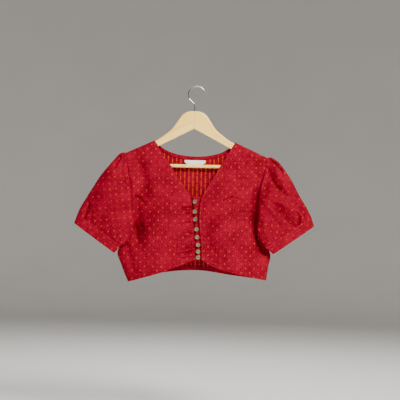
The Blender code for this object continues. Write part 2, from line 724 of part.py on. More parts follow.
def turned(name, profile, steps, finish):
    """A turned piece: a profile of radius and height, spun about its own Z."""
    outline = bmesh.new()
    points = [outline.verts.new((radius * MM, 0, height * MM)) for radius, height in profile]
    for first, second in zip(points, points[1:]):
        outline.edges.new((first, second))
    data = bpy.data.meshes.new(name)
    outline.to_mesh(data)
    outline.free()
    piece = add_object(name, data, finish)
    screw = piece.modifiers.new("turn", "SCREW")
    screw.steps = steps
    screw.render_steps = steps
    screw.use_merge_vertices = True
    screw.merge_threshold = 0.00001
    return piece


def build_buttons():
    """Turned discs with a dished face on a thread shank."""
    face = SHANK + BUTTON_THICK
    profile = [
        (0, face - 0.7),
        (3.4, face - 0.5),
        (4.6, face),
        (BUTTON_RADIUS - 0.5, face),
        (BUTTON_RADIUS, face - 0.9),
        (BUTTON_RADIUS - 0.8, SHANK),
        (SHANK_RADIUS, SHANK),
        (SHANK_RADIUS, 0),
        (0, 0),
    ]
    for number, button in enumerate(BUTTONS, 1):
        piece = turned(f"button_{number}", profile, BUTTON_SIDES, "coconut")
        piece.location = Vector((button.x, stand_depth(button.z) - SEAM, button.z)) * MM
        piece.rotation_euler = (math.pi / 2, 0, 0)


def tube(name, path, radius, sides, finish):
    """A round bar along a path, with filled ends."""
    curve = bpy.data.curves.new(name, "CURVE")
    curve.dimensions = "3D"
    curve.bevel_depth = radius * MM
    curve.bevel_resolution = sides
    curve.use_fill_caps = True
    spline = curve.splines.new("POLY")
    spline.points.add(len(path) - 1)
    for point, place in zip(spline.points, path):
        point.co = (*(Vector(place) * MM), 1)
    return add_object(name, curve, finish)


def build_loops():
    """A narrow bias loop from the right front's edge round the shank of each button."""
    for number, button in enumerate(BUTTONS, 1):
        share = (CENTRE_RIGHT[0].z - button.z) / (CENTRE_RIGHT[0].z - CENTRE_RIGHT[-1].z)
        root_x = smooth(CENTRE_RIGHT, min(share, 1.0))[0] + SEAM + 0.5
        y = stand_depth(button.z) - SEAM - LOOP_RADIUS
        path = [(root_x, y, button.z + LOOP_ROOT)]
        for step in range(7):
            turn = math.pi * (0.5 - step / 6)
            path.append(
                (button.x + LOOP_TURN * math.cos(turn), y, button.z + LOOP_TURN * math.sin(turn))
            )
        path.append((root_x, y, button.z - LOOP_ROOT))
        tube(f"loop_{number}", path, LOOP_RADIUS, 1, "cotton")


def hook_path():
    """The hook's wire from its tip, over the top and down the stem into the wood."""
    centre = Vector((0, 0, WIRE / 2 - HOOK_RADIUS))
    path = []
    for step in range(15):
        turn = math.radians(21 + (205 - 21) * step / 14)
        path.append(centre + HOOK_RADIUS * Vector((math.cos(turn), 0, math.sin(turn))))
    path += [
        Vector((-17.8, 0, -36.2)),
        Vector((-12.0, 0, -41.8)),
        Vector((-8.2, 0, -46.0)),
        Vector((HANGER_X - 0.7, 0, -50.5)),
        Vector((HANGER_X, 0, -56)),
        Vector((HANGER_X, 0, STEM_FOOT)),
    ]
    return path


# The wood's outline, right half: distance from its middle, height, as in a pattern.
WOOD_TOP = [
    (0, -66.4),
    (13, -68.2),
    (25, -75.0),
    (40, -92.5),
    (52, -109.5),
    (64, -122.5),
    (78, -133.0),
    (95, -144.6),
    (109, -151.9),
    (150, -170.6),
    (172, -180.6),
    (180, -185.0),
]
WOOD_END = [(187, -192), (190.5, -201), (190.5, -212), (186, -221), (178, -224), (171, -220)]
WOOD_UNDER = [(163, -209.5), (150, -196.5), (100, -167.0), (50, -140.6), (3, -116.5)]


def build_hanger():
    """Shaped beech shoulders, a trouser rod between their ends, and a wire hook."""
    half = WOOD_TOP + WOOD_END + WOOD_UNDER
    outline = half + [(0, -114.8)] + [(-x, z) for x, z in reversed(half[1:])]
    curve = bpy.data.curves.new("hanger_outline", "CURVE")
    curve.dimensions = "2D"
    curve.fill_mode = "BOTH"
    curve.bevel_depth = WOOD_ROUND * MM
    curve.bevel_resolution = 1
    curve.extrude = (WOOD_THICK / 2 - WOOD_ROUND) * MM
    curve.offset = -WOOD_ROUND * MM
    spline = curve.splines.new("POLY")
    spline.points.add(len(outline) - 1)
    spline.use_cyclic_u = True
    for point, (x, z) in zip(spline.points, outline):
        point.co = ((x + HANGER_X) * MM, z * MM, 0, 1)
    guide = bpy.data.objects.new("hanger_outline", curve)
    guide.rotation_euler = (math.pi / 2, 0, 0)
    cutters.objects.link(guide)
    bpy.context.view_layer.update()
    graph = bpy.context.evaluated_depsgraph_get()
    data = bpy.data.meshes.new_from_object(guide.evaluated_get(graph))
    data.transform(guide.matrix_world)
    bpy.data.objects.remove(guide)
    solid = bmesh.new()
    solid.from_mesh(data)
    bmesh.ops.remove_doubles(solid, verts=solid.verts, dist=0.00001)
    bmesh.ops.recalc_face_normals(solid, faces=solid.faces)
    solid.to_mesh(data)
    solid.free()
    wood = add_object("hanger_wood", data, "beech")
    drill(wood, "stem_hole", (HANGER_X, 0, -66), (HANGER_X, 0, STEM_FOOT - 1.5), WIRE / 2 + HOLE_GAP)
    for side, name in ((-1, "rod_hole_right"), (1, "rod_hole_left")):
        inner = (HANGER_X + side * (ROD_REACH - ROD_HOLE), 0, ROD_Z)
        outer = (HANGER_X + side * (ROD_REACH + 0.5), 0, ROD_Z)
        drill(wood, name, inner, outer, ROD_RADIUS + HOLE_GAP)
    start = (HANGER_X - ROD_REACH, 0, ROD_Z)
    end = (HANGER_X + ROD_REACH, 0, ROD_Z)
    tube("hanger_rod", [start, end], ROD_RADIUS, 4, "beech")
    tube("hanger_hook", hook_path(), WIRE / 2, 2, "steel")


def drill(solid, name, start, end, radius):
    """A round blind hole from start to end."""
    axis = Vector(end) - Vector(start)
    cutter = bpy.data.meshes.new(name)
    rod = bmesh.new()
    bmesh.ops.create_cone(
        rod,
        cap_ends=True,
        segments=16,
        radius1=radius * MM,
        radius2=radius * MM,
        depth=axis.length * MM,
    )
    rod.to_mesh(cutter)
    rod.free()
    made = bpy.data.objects.new(name, cutter)
    made.location = (Vector(start) + axis / 2) * MM
    made.rotation_euler = axis.to_track_quat("Z", "Y").to_euler()
    made.hide_render = True
    made.display_type = "WIRE"
    cutters.objects.link(made)
    cut = solid.modifiers.new(name, "BOOLEAN")
    cut.operation = "DIFFERENCE"
    cut.object = made


for left_over in list(bpy.data.objects):
    bpy.data.objects.remove(left_over)
blouse = bpy.data.collections.new("choli_blouse")
cutters = bpy.data.collections.new("cutters")
bpy.context.scene.collection.children.link(blouse)
bpy.context.scene.collection.children.link(cutters)

build_fronts()
back_grid = build_back()
build_inside_of_back(back_grid)
build_label(back_grid)
build_sleeves()
build_stand()
build_buttons()
build_loops()
build_hanger()
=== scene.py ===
"""The looks of a cropped cotton choli blouse that hangs on a wooden clothes hanger.

Tables are in millimetres, as in the pattern, and the meshes in metres. +X is the viewer's right,
-Y the front, +Z up. Right and left in the names are the wearer's. Each section is one piece.
"""

import math
from collections import namedtuple

import bmesh
import bpy
import numpy as np
from mathutils import Matrix, Vector, noise


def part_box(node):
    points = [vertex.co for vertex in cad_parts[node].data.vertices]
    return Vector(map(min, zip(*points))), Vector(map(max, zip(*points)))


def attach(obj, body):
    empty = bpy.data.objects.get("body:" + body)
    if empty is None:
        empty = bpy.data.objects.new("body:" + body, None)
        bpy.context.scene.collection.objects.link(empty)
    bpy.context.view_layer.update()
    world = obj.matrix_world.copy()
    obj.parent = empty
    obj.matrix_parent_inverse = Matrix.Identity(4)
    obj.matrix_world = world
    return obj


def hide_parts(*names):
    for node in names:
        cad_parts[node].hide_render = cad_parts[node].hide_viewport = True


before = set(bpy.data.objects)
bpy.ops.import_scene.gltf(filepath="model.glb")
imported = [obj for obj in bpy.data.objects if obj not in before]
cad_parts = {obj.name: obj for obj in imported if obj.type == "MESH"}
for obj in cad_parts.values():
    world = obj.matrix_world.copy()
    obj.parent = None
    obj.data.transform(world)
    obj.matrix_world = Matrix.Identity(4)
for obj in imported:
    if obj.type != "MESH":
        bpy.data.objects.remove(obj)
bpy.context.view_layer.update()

# ---- The fronts ----
# Two fronts of handloom cotton, red with small woven butis. The shoulders lie over the hanger,
# the sides roll round to the side seams, and the right front is gathered into its buttoned edge.

MM = 0.001
SEAM = 0.1  # what shows of the gap between pieces that are sewn together
UNDERARM_EASE = 0.1
UNDERARM_REACH = 0.06
HANGER_X = -5.5
TURN = 10.0  # depth of the roll where the cloth goes over the hanger
SHOULDER_SLOPE = 0.455
UNDERARM = 0.60  # share of a panel's height where the armhole ends
ROLL_FROM = 0.5
SIDE_ROLL = 0.10
SQUARENESS = 3.0
CLOTH = 0.55  # thin handloom cotton, doubled in its turnings
HALF_BODY = 190.0  # about how wide a front is

Edge = namedtuple("Edge", "share x z")
Section = namedtuple("Section", "share seam crease side bust middle")
Fold = namedtuple("Fold", "x0 z0 x1 z1 width depth")

ACROSS = (0, 0.12, 0.30, 0.60, 1)  # where a Section's five depths lie across a panel
# The edge from the shoulder tip round the armhole and down the side seam, for each front.
ARMHOLE_RIGHT = [
    Edge(0.00, -190.7, -183.8),
    Edge(0.12, -185.5, -222),
    Edge(0.24, -177, -262),
    Edge(0.36, -171, -303),
    Edge(0.48, -168, -350),
    Edge(0.56, -168.5, -383),
    Edge(0.60, -173, -402),
    Edge(0.65, -183, -418),
    Edge(0.71, -197.5, -437),
    Edge(0.76, -207.5, -453),
    Edge(0.88, -196.2, -495),
    Edge(1.00, -178, -538.5),
]
ARMHOLE_LEFT = [
    Edge(0.00, 197.8, -190),
    Edge(0.12, 190, -226),
    Edge(0.24, 180, -263),
    Edge(0.36, 174, -301),
    Edge(0.48, 175, -350),
    Edge(0.56, 177, -383),
    Edge(0.60, 181, -402),
    Edge(0.65, 190.5, -418),
    Edge(0.71, 202.5, -436),
    Edge(0.76, 211, -452),
    Edge(0.88, 207, -488),
    Edge(1.00, 202, -526.5),
]
# The neck and centre front edge of each front: share down the panel, corner at the V.
NECK_RIGHT = Edge(0, -113.4, -148.7)
NECK_LEFT = Edge(0, 108.3, -149.4)
V_SHARE = 0.515
CENTRE_RIGHT = [
    Edge(0, -9.8, -302),
    Edge(0.3, -2.8, -356),
    Edge(0.7, 3.4, -428),
    Edge(1, 6.4, -474),
]
CENTRE_LEFT = [
    Edge(0, 17.3, -302.5),
    Edge(0.3, 13, -354),
    Edge(0.5, 15.6, -390),
    Edge(0.75, 20.4, -434),
    Edge(1, 21.6, -473),
]
HEM_RIGHT = [Edge(0, -178, -538.5), Edge(0.5, -84, -510), Edge(1, 6.4, -474)]
HEM_LEFT = [
    Edge(0, 202, -526.5),
    Edge(0.5, 110, -508.5),
    Edge(0.78, 58, -494),
    Edge(1, 21.6, -474),
]
# Depths, front to back: how far each section's five points stand forward (-) or behind (+).
FRONT_DEPTH = [
    Section(0.00, -9.5, -9.5, -9.5, -9.5, -9.5),
    Section(0.12, -12, -12, -12, -13, -11),
    Section(0.25, -14, -13, -15, -20, -15),
    Section(0.40, -15, -12, -19, -29, -20),
    Section(0.52, -10.5, -10.5, -24, -35, -25),
    Section(0.60, -9.5, -10, -27, -37, -26.5),
    Section(0.70, -11, -14, -28, -36, -26.5),
    Section(0.85, -14, -21, -29, -33, -25.5),
    Section(1.00, -14, -21, -27, -29, -25),
]
SIDE_SEAM_DEPTH = [(0, 0), (0.60, -2), (0.66, -1), (0.72, 0.5), (0.85, 1.5), (1, 0)]
# Largest folds: a line from x0,z0 to x1,z1, its width, and its depth inwards (ridges below 0).
FOLDS_FRONT_RIGHT = [
    Fold(-176, -205, -128, -290, 15, 5),
    Fold(-158, -330, -140, -445, 11, 7),
    Fold(-150, -215, -100, -330, 16, -3),
    Fold(-120, -340, -105, -500, 22, -3.5),
    Fold(-170, -470, -160, -520, 10, 3),
    Fold(-75, -370, -70, -480, 18, 2.5),
]
FOLDS_FRONT_LEFT = [
    Fold(166, -295, 186, -455, 10, 7),
    Fold(95, -318, 60, -330, 12, 3),
    Fold(150, -230, 130, -330, 20, -3),
    Fold(38, -350, 40, -460, 13, 4),
    Fold(75, -360, 110, -480, 24, -4),
]
FOLD_END = 0.35  # how much of its depth a fold keeps at its ends
FOLD_FROM_SIDE, FOLD_FROM_CENTRE = 0.3, 0.16  # shares over which folds rise from the edges
GATHERS = 9  # soft pleats drawn into the buttoned edge of the right front
GATHER_DEPTH, GATHER_EDGE, GATHER_FULL = 2.5, 0.45, 9  # their depth, and less of it at the edge
GATHER_REACH = 38.0
GATHER_RISE = 0.16  # how far each gather slants as it leaves the edge
GATHER_SWAY, GATHER_SWAY_LONG, GATHER_START = 0.7, 31, 0.06

OFF_SIDE = 0.045  # share of the width that creases take to rise from the side seam
SEAM_SWELL = {-1: 0.05, 1: 0.4}  # how plump the cloth lies beside each armhole seam
SEAM_PUCKER = {-1: 0.2, 1: 0.5}  # how uneven it is there
SWELL_REACH, PUCKER_SIZE, PUCKER_REACH = 3.5, 7, 9
PUCKER_FADE = 0.05  # share of the height over which both fade towards the underarm
FLUSH_ARMHOLE = {-1: 6.5, 1: 2.0}  # how much each front fills out beside its armhole
FLUSH_AT, FLUSH_WIDE, FLUSH_TO = 0.05, 0.1, 0.42
ARMHOLE_HOLLOW = {-1: 6.0, 1: 12.0}  # how deep the cloth falls in below, next to the sleeve
HOLLOW_FROM = {-1: 0.32, 1: 0.235}
HOLLOW_TO, HOLLOW_FADE, HOLLOW_WIDE = 0.76, 0.12, 15
HELD_FROM, HELD_OVER, HELD_WIDE = 0.46, 0.1, 0.08  # from there down its edge stays at the sleeve
BUST_SWELL = {-1: 2.0, 1: 7.0}  # how far it stands out beside that hollow
BUST_AT, BUST_WIDE = 0.16, 0.07
SIDE_HOLLOW = {-1: 3.0, 1: 11.0}  # how deep it falls in at the side, below the cuff
SIDE_AT, SIDE_HIGH, SIDE_WIDE, SIDE_EDGE = 0.72, 0.06, 0.13, 0.03
STAND_LIFT, STAND_OVER, STAND_REACH = 2.4, 0.2, 0.1  # the left front lies over the stand
HEM_STITCHES, EDGE_STITCHES = 11.5, 5.0  # how far inside its edge each stitch line runs
STITCH_DIP, STITCH_DIP_WIDE, EDGE_SWELL = 0.45, 1.7, 0.25
RUMPLES = ((42, 0.9), (15, 0.35))  # size and depth of the hollows that any cloth has

# Creases of a front: the points that each runs through, how far it spreads to its left and right
# as it runs, and how deep it is at its start, middle and end (ridges below 0).
CREASES_FRONT_RIGHT = [
    ([(-162, -195), (-151, -220), (-140, -245), (-129, -277)], (13, 15), (2.5, 7, 2)),
    ([(-174, -303), (-161, -304), (-147, -311), (-133, -326)], (3, 11), (3.5, 5, 0.8)),
    ([(-167, -365), (-162, -391), (-157, -415), (-151, -441)], (9, 12), (5, 18, 4)),
    ([(-145, -431), (-139, -455), (-131, -483)], (9, 11), (2, 2.2, 0.8)),
    ([(-183, -437), (-178, -456), (-172, -482)], (8, 8), (3, 4, 0.8)),
    ([(-167, -439), (-160, -467), (-157, -495)], (8, 8), (-0.6, -1.6, -0.6)),
    ([(-156, -340), (-141, -365), (-127, -401), (-120, -435)], (10, 8), (-0.5, -2.6, -0.8)),
    ([(-132, -295), (-103, -309), (-69, -322), (-33, -332)], (6, 11), (0.4, 1.5, 2)),
    ([(-120, -191), (-108, -221), (-95, -252)], (10, 10), (0.3, 1.2, 0.3)),
    ([(-109, -353), (-85, -361), (-60, -358)], (8, 9), (0.2, 1, 0.4)),
    ([(-98, -401), (-93, -434), (-97, -465)], (11, 10), (0.3, 1.4, 0.7)),
    ([(-62, -403), (-56, -431), (-61, -456)], (9, 8), (0.2, 1.1, 0.3)),
    ([(-9, -333), (-23, -335), (-37, -340)], (3, 4), (4.6, 5.2, 1.2)),
    ([(-8, -346), (-20, -349), (-31, -346)], (3, 4), (4.8, 6.2, 1.5)),
    ([(-7, -356), (-18, -362), (-28, -365)], (3, 3), (4.4, 4.8, 1)),
    ([(-5, -372), (-23, -375), (-43, -383)], (3, 4), (4.6, 5.4, 1.4)),
    ([(-4, -389), (-16, -392), (-31, -395)], (3, 3), (3.6, 4, 0.9)),
    ([(-3, -404), (-17, -402), (-32, -405)], (3, 4), (3.8, 4, 0.9)),
    ([(-1, -421), (-14, -428), (-26, -433)], (3, 4), (4.2, 4.6, 1)),
    ([(0, -438), (-19, -445), (-45, -453)], (3, 4), (4.8, 6.6, 1.6)),
    ([(1, -450), (-19, -456), (-49, -462)], (3, 4), (4.2, 5.6, 1.6)),
]
CREASES_FRONT_LEFT = [
    ([(59, -319), (83, -309), (108, -303), (133, -311)], (4, 10), (2.5, 7, 1.5)),
    ([(43, -282), (82, -287), (119, -283)], (9, 7), (-0.3, -1.2, -0.4)),
    ([(169, -279), (165, -308), (166, -338), (169, -366)], (5, 11), (3, 7, 6)),
    ([(169, -366), (173, -394), (181, -428), (194, -450)], (6, 11), (6, 6, 6)),
    ([(184, -425), (196, -444), (207, -454)], (8, 11), (3, 6, 4)),
    ([(147, -288), (142, -316), (144, -347)], (8, 9), (0.4, 1.4, 0.4)),
    ([(18, -350), (23, -378), (34, -400)], (7, 8), (0.6, 1.8, 0.6)),
    ([(19, -406), (38, -420), (53, -439), (65, -461)], (5, 8), (1.6, 2.2, 0.7)),
    ([(21, -448), (41, -465), (61, -478)], (5, 7), (1.2, 1.6, 0.5)),
    ([(97, -421), (122, -446), (146, -476)], (9, 11), (0.4, 1.8, 0.8)),
    ([(161, -397), (163, -428), (170, -456)], (9, 8), (-0.5, -2, -0.6)),
    ([(183, -206), (175, -234), (168, -260)], (6, 7), (0.4, 1.6, 0.8)),
    ([(116, -168), (131, -199), (140, -230)], (9, 9), (0.3, 1.1, 0.2)),
    ([(163, -487), (171, -501), (174, -512)], (7, 7), (0.4, 1.3, 0.8)),
    ([(69, -335), (78, -369), (75, -399)], (14, 12), (-0.4, -1.6, -0.4)),
]


def smooth(table, share):
    """The columns of a table at the shares of an array, on a smooth curve through its rows."""
    rows = np.array(table, float)
    keys, values = rows[:, 0], rows[:, 1:]
    slopes = np.gradient(values, keys, axis=0)
    share = np.asarray(share, float)
    i = np.clip(np.searchsorted(keys, share) - 1, 0, len(keys) - 2)
    span = (keys[i + 1] - keys[i])[..., None]
    f = (share - keys[i])[..., None] / span
    return curve_between(f, span, values[i], values[i + 1], slopes[i], slopes[i + 1])


def rounded(f):
    """A quarter round that starts steep: 0 at 0, level from 1 on."""
    return (1 - (1 - np.clip(f, 0.0, 1.0)) ** SQUARENESS) ** (1 / SQUARENESS)


def smoothstep(f):
    f = np.clip(f, 0.0, 1.0)
    return f * f * (3 - 2 * f)


def over_hanger(x, z):
    """How far the cloth has turned from lying on the hanger (0) to hanging beside it (1)."""
    right = NECK_RIGHT.z + (x - NECK_RIGHT.x) * SHOULDER_SLOPE
    left = NECK_LEFT.z - (x - NECK_LEFT.x) * SHOULDER_SLOPE
    return rounded((np.where(x < HANGER_X, right, left) - z) / TURN)


def bell(f):
    """1 at 0, soft down to nothing on both sides."""
    return np.exp(-(f**2))


def within(f, start, rise, end, fade):
    """1 between start and end, with a soft rise and a soft fade there."""
    return smoothstep((f - start) / rise) * smoothstep((end - f) / fade)


def curve_between(f, span, near, far, rise, fall):
    """The smooth curve between two values with their slopes, at a share of the span."""
    start = (1 + 2 * f) * (1 - f) ** 2 * near + f * (1 - f) ** 2 * span * rise
    return start + (f * f * (3 - 2 * f) * far + f * f * (f - 1) * span * fall)


def across_depth(table, t, s):
    """The depth at s across a panel, on a smooth curve through the five of its section."""
    keys = np.array(ACROSS)
    values = smooth(table, t)
    slopes = np.gradient(values, keys, axis=-1)
    i = np.clip(np.searchsorted(keys, s) - 1, 0, len(keys) - 2)
    span = keys[i + 1] - keys[i]
    near, far, rise, fall = (
        np.take_along_axis(row, k[..., None], -1)[..., 0]
        for row in (values, slopes)
        for k in (i, i + 1)
    )
    return curve_between((s - keys[i]) / span, span, near, far, rise, fall)


def roll_to_seam(depth, from_side, t):
    """Below the armhole a panel rolls round to the side seam; above it its edge stays open."""
    seam = smooth(SIDE_SEAM_DEPTH, np.maximum(t, UNDERARM))[..., 0]
    rolled = seam + (depth - seam) * rounded(from_side / SIDE_ROLL)
    share = smoothstep((t - ROLL_FROM) / (UNDERARM - ROLL_FROM))
    return (1 - share) * depth + share * rolled


def seam_half(t):
    """Half the gap between the front and the back."""
    return SEAM / 2 + UNDERARM_EASE * bell((t - UNDERARM) / UNDERARM_REACH)


def fold_depth(folds, x, z):
    """How far the broad folds push the cloth inwards."""
    total = 0.0
    for fold in folds:
        along_x, along_z = fold.x1 - fold.x0, fold.z1 - fold.z0
        share = (x - fold.x0) * along_x + (z - fold.z0) * along_z
        share = np.clip(share / (along_x**2 + along_z**2), 0.0, 1.0)
        beside = np.hypot(x - fold.x0 - share * along_x, z - fold.z0 - share * along_z)
        fade = FOLD_END + (1 - FOLD_END) * np.sin(math.pi * share)
        total = total + fold.depth * fade * bell(beside / fold.width)
    return total


def crease_depth(creases, x, z):
    """How far the fine creases push the cloth inwards, each along its own bent line."""
    total = np.zeros(x.shape)
    for path, widths, depths in creases:
        table = [(key, *point) for key, point in zip(np.linspace(0, 1, len(path)), path)]
        line = smooth(table, np.linspace(0, 1, 17))
        reach = 3 * max(widths)
        low, high = line.min(axis=0) - reach, line.max(axis=0) + reach
        near = (x > low[0]) & (x < high[0]) & (z > low[1]) & (z < high[1])
        off = np.stack([x[near], z[near]], -1)[:, None, :] - line[:-1]
        step = line[1:] - line[:-1]
        share = np.clip((off * step).sum(-1) / (step * step).sum(-1), 0.0, 1.0)
        gap = off - share[..., None] * step
        beside = np.hypot(gap[..., 0], gap[..., 1])
        k = beside.argmin(axis=1)
        i = np.arange(len(k))
        left = step[k, 0] * gap[i, k, 1] - step[k, 1] * gap[i, k, 0] > 0
        depth = smooth(list(zip((0.0, 0.5, 1.0), depths)), (k + share[i, k]) / len(step))[:, 0]
        total[near] += depth * bell(beside[i, k] / np.where(left, *widths))
    return total


def uneven(x, z, size, seed):
    """Soft random hollows and swells of about one size, between -1 and 1."""
    places = zip(np.ravel(x) / size, np.ravel(z) / size)
    return np.array([noise.noise((a, seed, b)) for a, b in places]).reshape(np.shape(x))


def rumpled(rumples, x, z, seed):
    """The hollows that any cloth has, of two sizes."""
    return sum(depth * uneven(x, z, size, seed) for size, depth in rumples)


def beside_seam(away, x, z, seed):
    """How far the cloth has swelled beside a seam, and how it puckers there."""
    swell = 1 - bell(away / SWELL_REACH)
    return swell, uneven(x, z, PUCKER_SIZE, seed) * bell(away / PUCKER_REACH) * swell


def flat_patch(top, bottom, left, right, s, t):
    """Points of the flat patch between four edges, as x and z."""
    across, down = s[..., None], t[..., None]
    edges = (1 - down) * top(s) + down * bottom(s) + (1 - across) * left(t) + across * right(t)
    start, end = np.zeros(1), np.ones(1)
    upper = (1 - across) * left(start)[0] + across * right(start)[0]
    lower = (1 - across) * left(end)[0] + across * right(end)[0]
    return edges - (1 - down) * upper - down * lower


def centre_edge(neck, centre, t):
    """The V neckline and then the centre front edge."""
    share = (t / V_SHARE)[..., None]
    straight = (1 - share) * np.array(neck[1:], float) + share * np.array(centre[0][1:], float)
    below = smooth(centre, np.clip((t - V_SHARE) / (1 - V_SHARE), 0.0, 1.0))
    return np.where(share < 1, straight, below)


def gather_depth(centre, x, z, t):
    """The waves that the gathered edge sends into the right front."""
    away = np.maximum(centre_edge(NECK_RIGHT, centre, t)[..., 0] - x, 0.0)
    length = centre[0].z - centre[-1].z
    turn = (centre[0].z - z - GATHER_RISE * away) / length * GATHERS
    turn = turn + GATHER_SWAY * np.sin(z / GATHER_SWAY_LONG)
    fade = smoothstep((t - V_SHARE) / GATHER_START) * np.exp(-((away / GATHER_REACH) ** 1.5))
    edge_fade = GATHER_EDGE + (1 - GATHER_EDGE) * smoothstep(away / GATHER_FULL)
    return GATHER_DEPTH * fade * edge_fade * np.sin(2 * math.pi * turn)


def front_points(side, s, t):
    """Points of a front's outer face; s runs from the side to the centre, t downwards."""
    s, t = np.broadcast_arrays(np.asarray(s, float), np.asarray(t, float))
    armhole = ARMHOLE_RIGHT if side < 0 else ARMHOLE_LEFT
    neck = NECK_RIGHT if side < 0 else NECK_LEFT
    centre = CENTRE_RIGHT if side < 0 else CENTRE_LEFT
    hem = HEM_RIGHT if side < 0 else HEM_LEFT
    tip = np.array(armhole[0][1:], float)
    flat = flat_patch(
        lambda a: (1 - a)[..., None] * tip + a[..., None] * np.array(neck[1:], float),
        lambda a: smooth(hem, a),
        lambda b: smooth(armhole, b),
        lambda b: centre_edge(neck, centre, b),
        s,
        t,
    )
    x, z = flat[..., 0], flat[..., 1]
    depth = roll_to_seam(across_depth(FRONT_DEPTH, t, s), s, t)
    inside = np.sin(math.pi * np.minimum(s / FOLD_FROM_SIDE, 0.5))
    inside = inside * np.sin(math.pi * np.minimum((1 - s) / FOLD_FROM_CENTRE, 0.5))
    turned = over_hanger(x, z)
    folds = FOLDS_FRONT_RIGHT if side < 0 else FOLDS_FRONT_LEFT
    creases = CREASES_FRONT_RIGHT if side < 0 else CREASES_FRONT_LEFT
    y = (depth + fold_depth(folds, x, z) * inside) * turned
    off_side = smoothstep(s / OFF_SIDE)
    y += (crease_depth(creases, x, z) + rumpled(RUMPLES, x, z, side)) * off_side * turned
    away = s * HALF_BODY
    swell, pucker = beside_seam(away, x, z, side + 5)
    plump = SEAM_SWELL[side] * swell + SEAM_PUCKER[side] * pucker
    y -= plump * smoothstep((UNDERARM - t) / PUCKER_FADE) * turned
    flush = bell((s - FLUSH_AT) / FLUSH_WIDE) * smoothstep((FLUSH_TO - t) / HOLLOW_FADE)
    y -= FLUSH_ARMHOLE[side] * flush * turned
    fallen = within(t, HOLLOW_FROM[side], HOLLOW_FADE, HOLLOW_TO, HOLLOW_FADE)
    y -= BUST_SWELL[side] * fallen * bell((s - BUST_AT) / BUST_WIDE)
    fallen *= 1 - smoothstep((t - HELD_FROM) / HELD_OVER) * (1 - smoothstep(s / HELD_WIDE))
    y += ARMHOLE_HOLLOW[side] * fallen * bell(away / HOLLOW_WIDE)
    below = bell((t - SIDE_AT) / SIDE_HIGH) * smoothstep(s / SIDE_EDGE)
    y += SIDE_HOLLOW[side] * below * bell(s / SIDE_WIDE)
    if side < 0:
        y += gather_depth(centre, x, z, t)
    else:
        y -= STAND_LIFT * smoothstep((t - V_SHARE) / STAND_OVER) * bell((1 - s) / STAND_REACH)
    y += stitched_in(z - smooth(hem, s)[..., 1], HEM_STITCHES) * off_side
    y += stitched_in((1 - s) * HALF_BODY, EDGE_STITCHES) * turned
    return np.stack([x, y - seam_half(t), z], -1)


def stitched_in(away, line):
    """The dip of a stitch line inside an edge, and the doubled edge that swells beside it."""
    dip = STITCH_DIP * bell((away - line) / STITCH_DIP_WIDE)
    return dip - EDGE_SWELL * np.exp(-((away / line) ** 4))


def linear(code):
    """An sRGB hex colour as the shader takes it."""
    parts = [int(code[i : i + 2], 16) / 255 for i in (1, 3, 5)]
    return (*(c / 12.92 if c <= 0.04045 else ((c + 0.055) / 1.055) ** 2.4 for c in parts), 1)


def add(tree, kind, inputs, **settings):
    """Adds a node with its settings, values and links, and returns its outputs."""
    node = tree.nodes.new("ShaderNode" + kind)
    for name, value in settings.items():
        setattr(node, name, value)
    for place, value in inputs.items():
        if isinstance(value, bpy.types.NodeSocket):
            tree.links.new(value, node.inputs[place])
        else:
            node.inputs[place].default_value = value
    return node.outputs


def new_material(name):
    """An empty material and its tree."""
    made = bpy.data.materials.new(name)
    made.use_nodes = True
    made.node_tree.nodes.clear()
    return made, made.node_tree


def noise_of(tree, place, scale, detail, stretch=None):
    """Soft noise at a place, as a value; stretched where its axes have scales of their own."""
    if stretch:
        place = add(tree, "Mapping", {"Vector": place, "Scale": stretch})["Vector"]
    return add(tree, "TexNoise", {"Vector": place, "Scale": scale, "Detail": detail})["Fac"]


def calc(tree, operation, *values):
    """One sum of a tree."""
    return add(tree, "Math", dict(enumerate(values)), operation=operation)[0]


def ranged(tree, value, low, high, start, end):
    """A value that goes from low to high, made to go from start to end."""
    return add(tree, "MapRange", {0: value, 1: low, 2: high, 3: start, 4: end})[0]


def blend(tree, share, *colours):
    """A colour between two, each an sRGB code or a socket."""
    first, last = (linear(c) if isinstance(c, str) else c for c in colours)
    return add(tree, "Mix", {0: share, 6: first, 7: last}, data_type="RGBA")[2]


def finish_surface(tree, colour, roughness, relief=None, **values):
    """Ends a material: colour, gloss, relief as height, strength and distance, and the rest."""
    inputs = {"Base Color": colour, "Roughness": roughness, **values}
    if relief:
        bump = dict(zip(("Height", "Strength", "Distance"), relief))
        inputs["Normal"] = add(tree, "Bump", bump)[0]
    shader = add(tree, "BsdfPrincipled", inputs)["BSDF"]
    add(tree, "OutputMaterial", {"Surface": shader})


BUTI_ACROSS = 0.0115  # between columns of butis
BUTI_DOWN = 0.023  # between butis of a column; the next column is half of it lower
CRIMSON = "#8F0024"
CRIMSON_DARK = "#690014"
BUTI_ORANGE = "#B53E09"


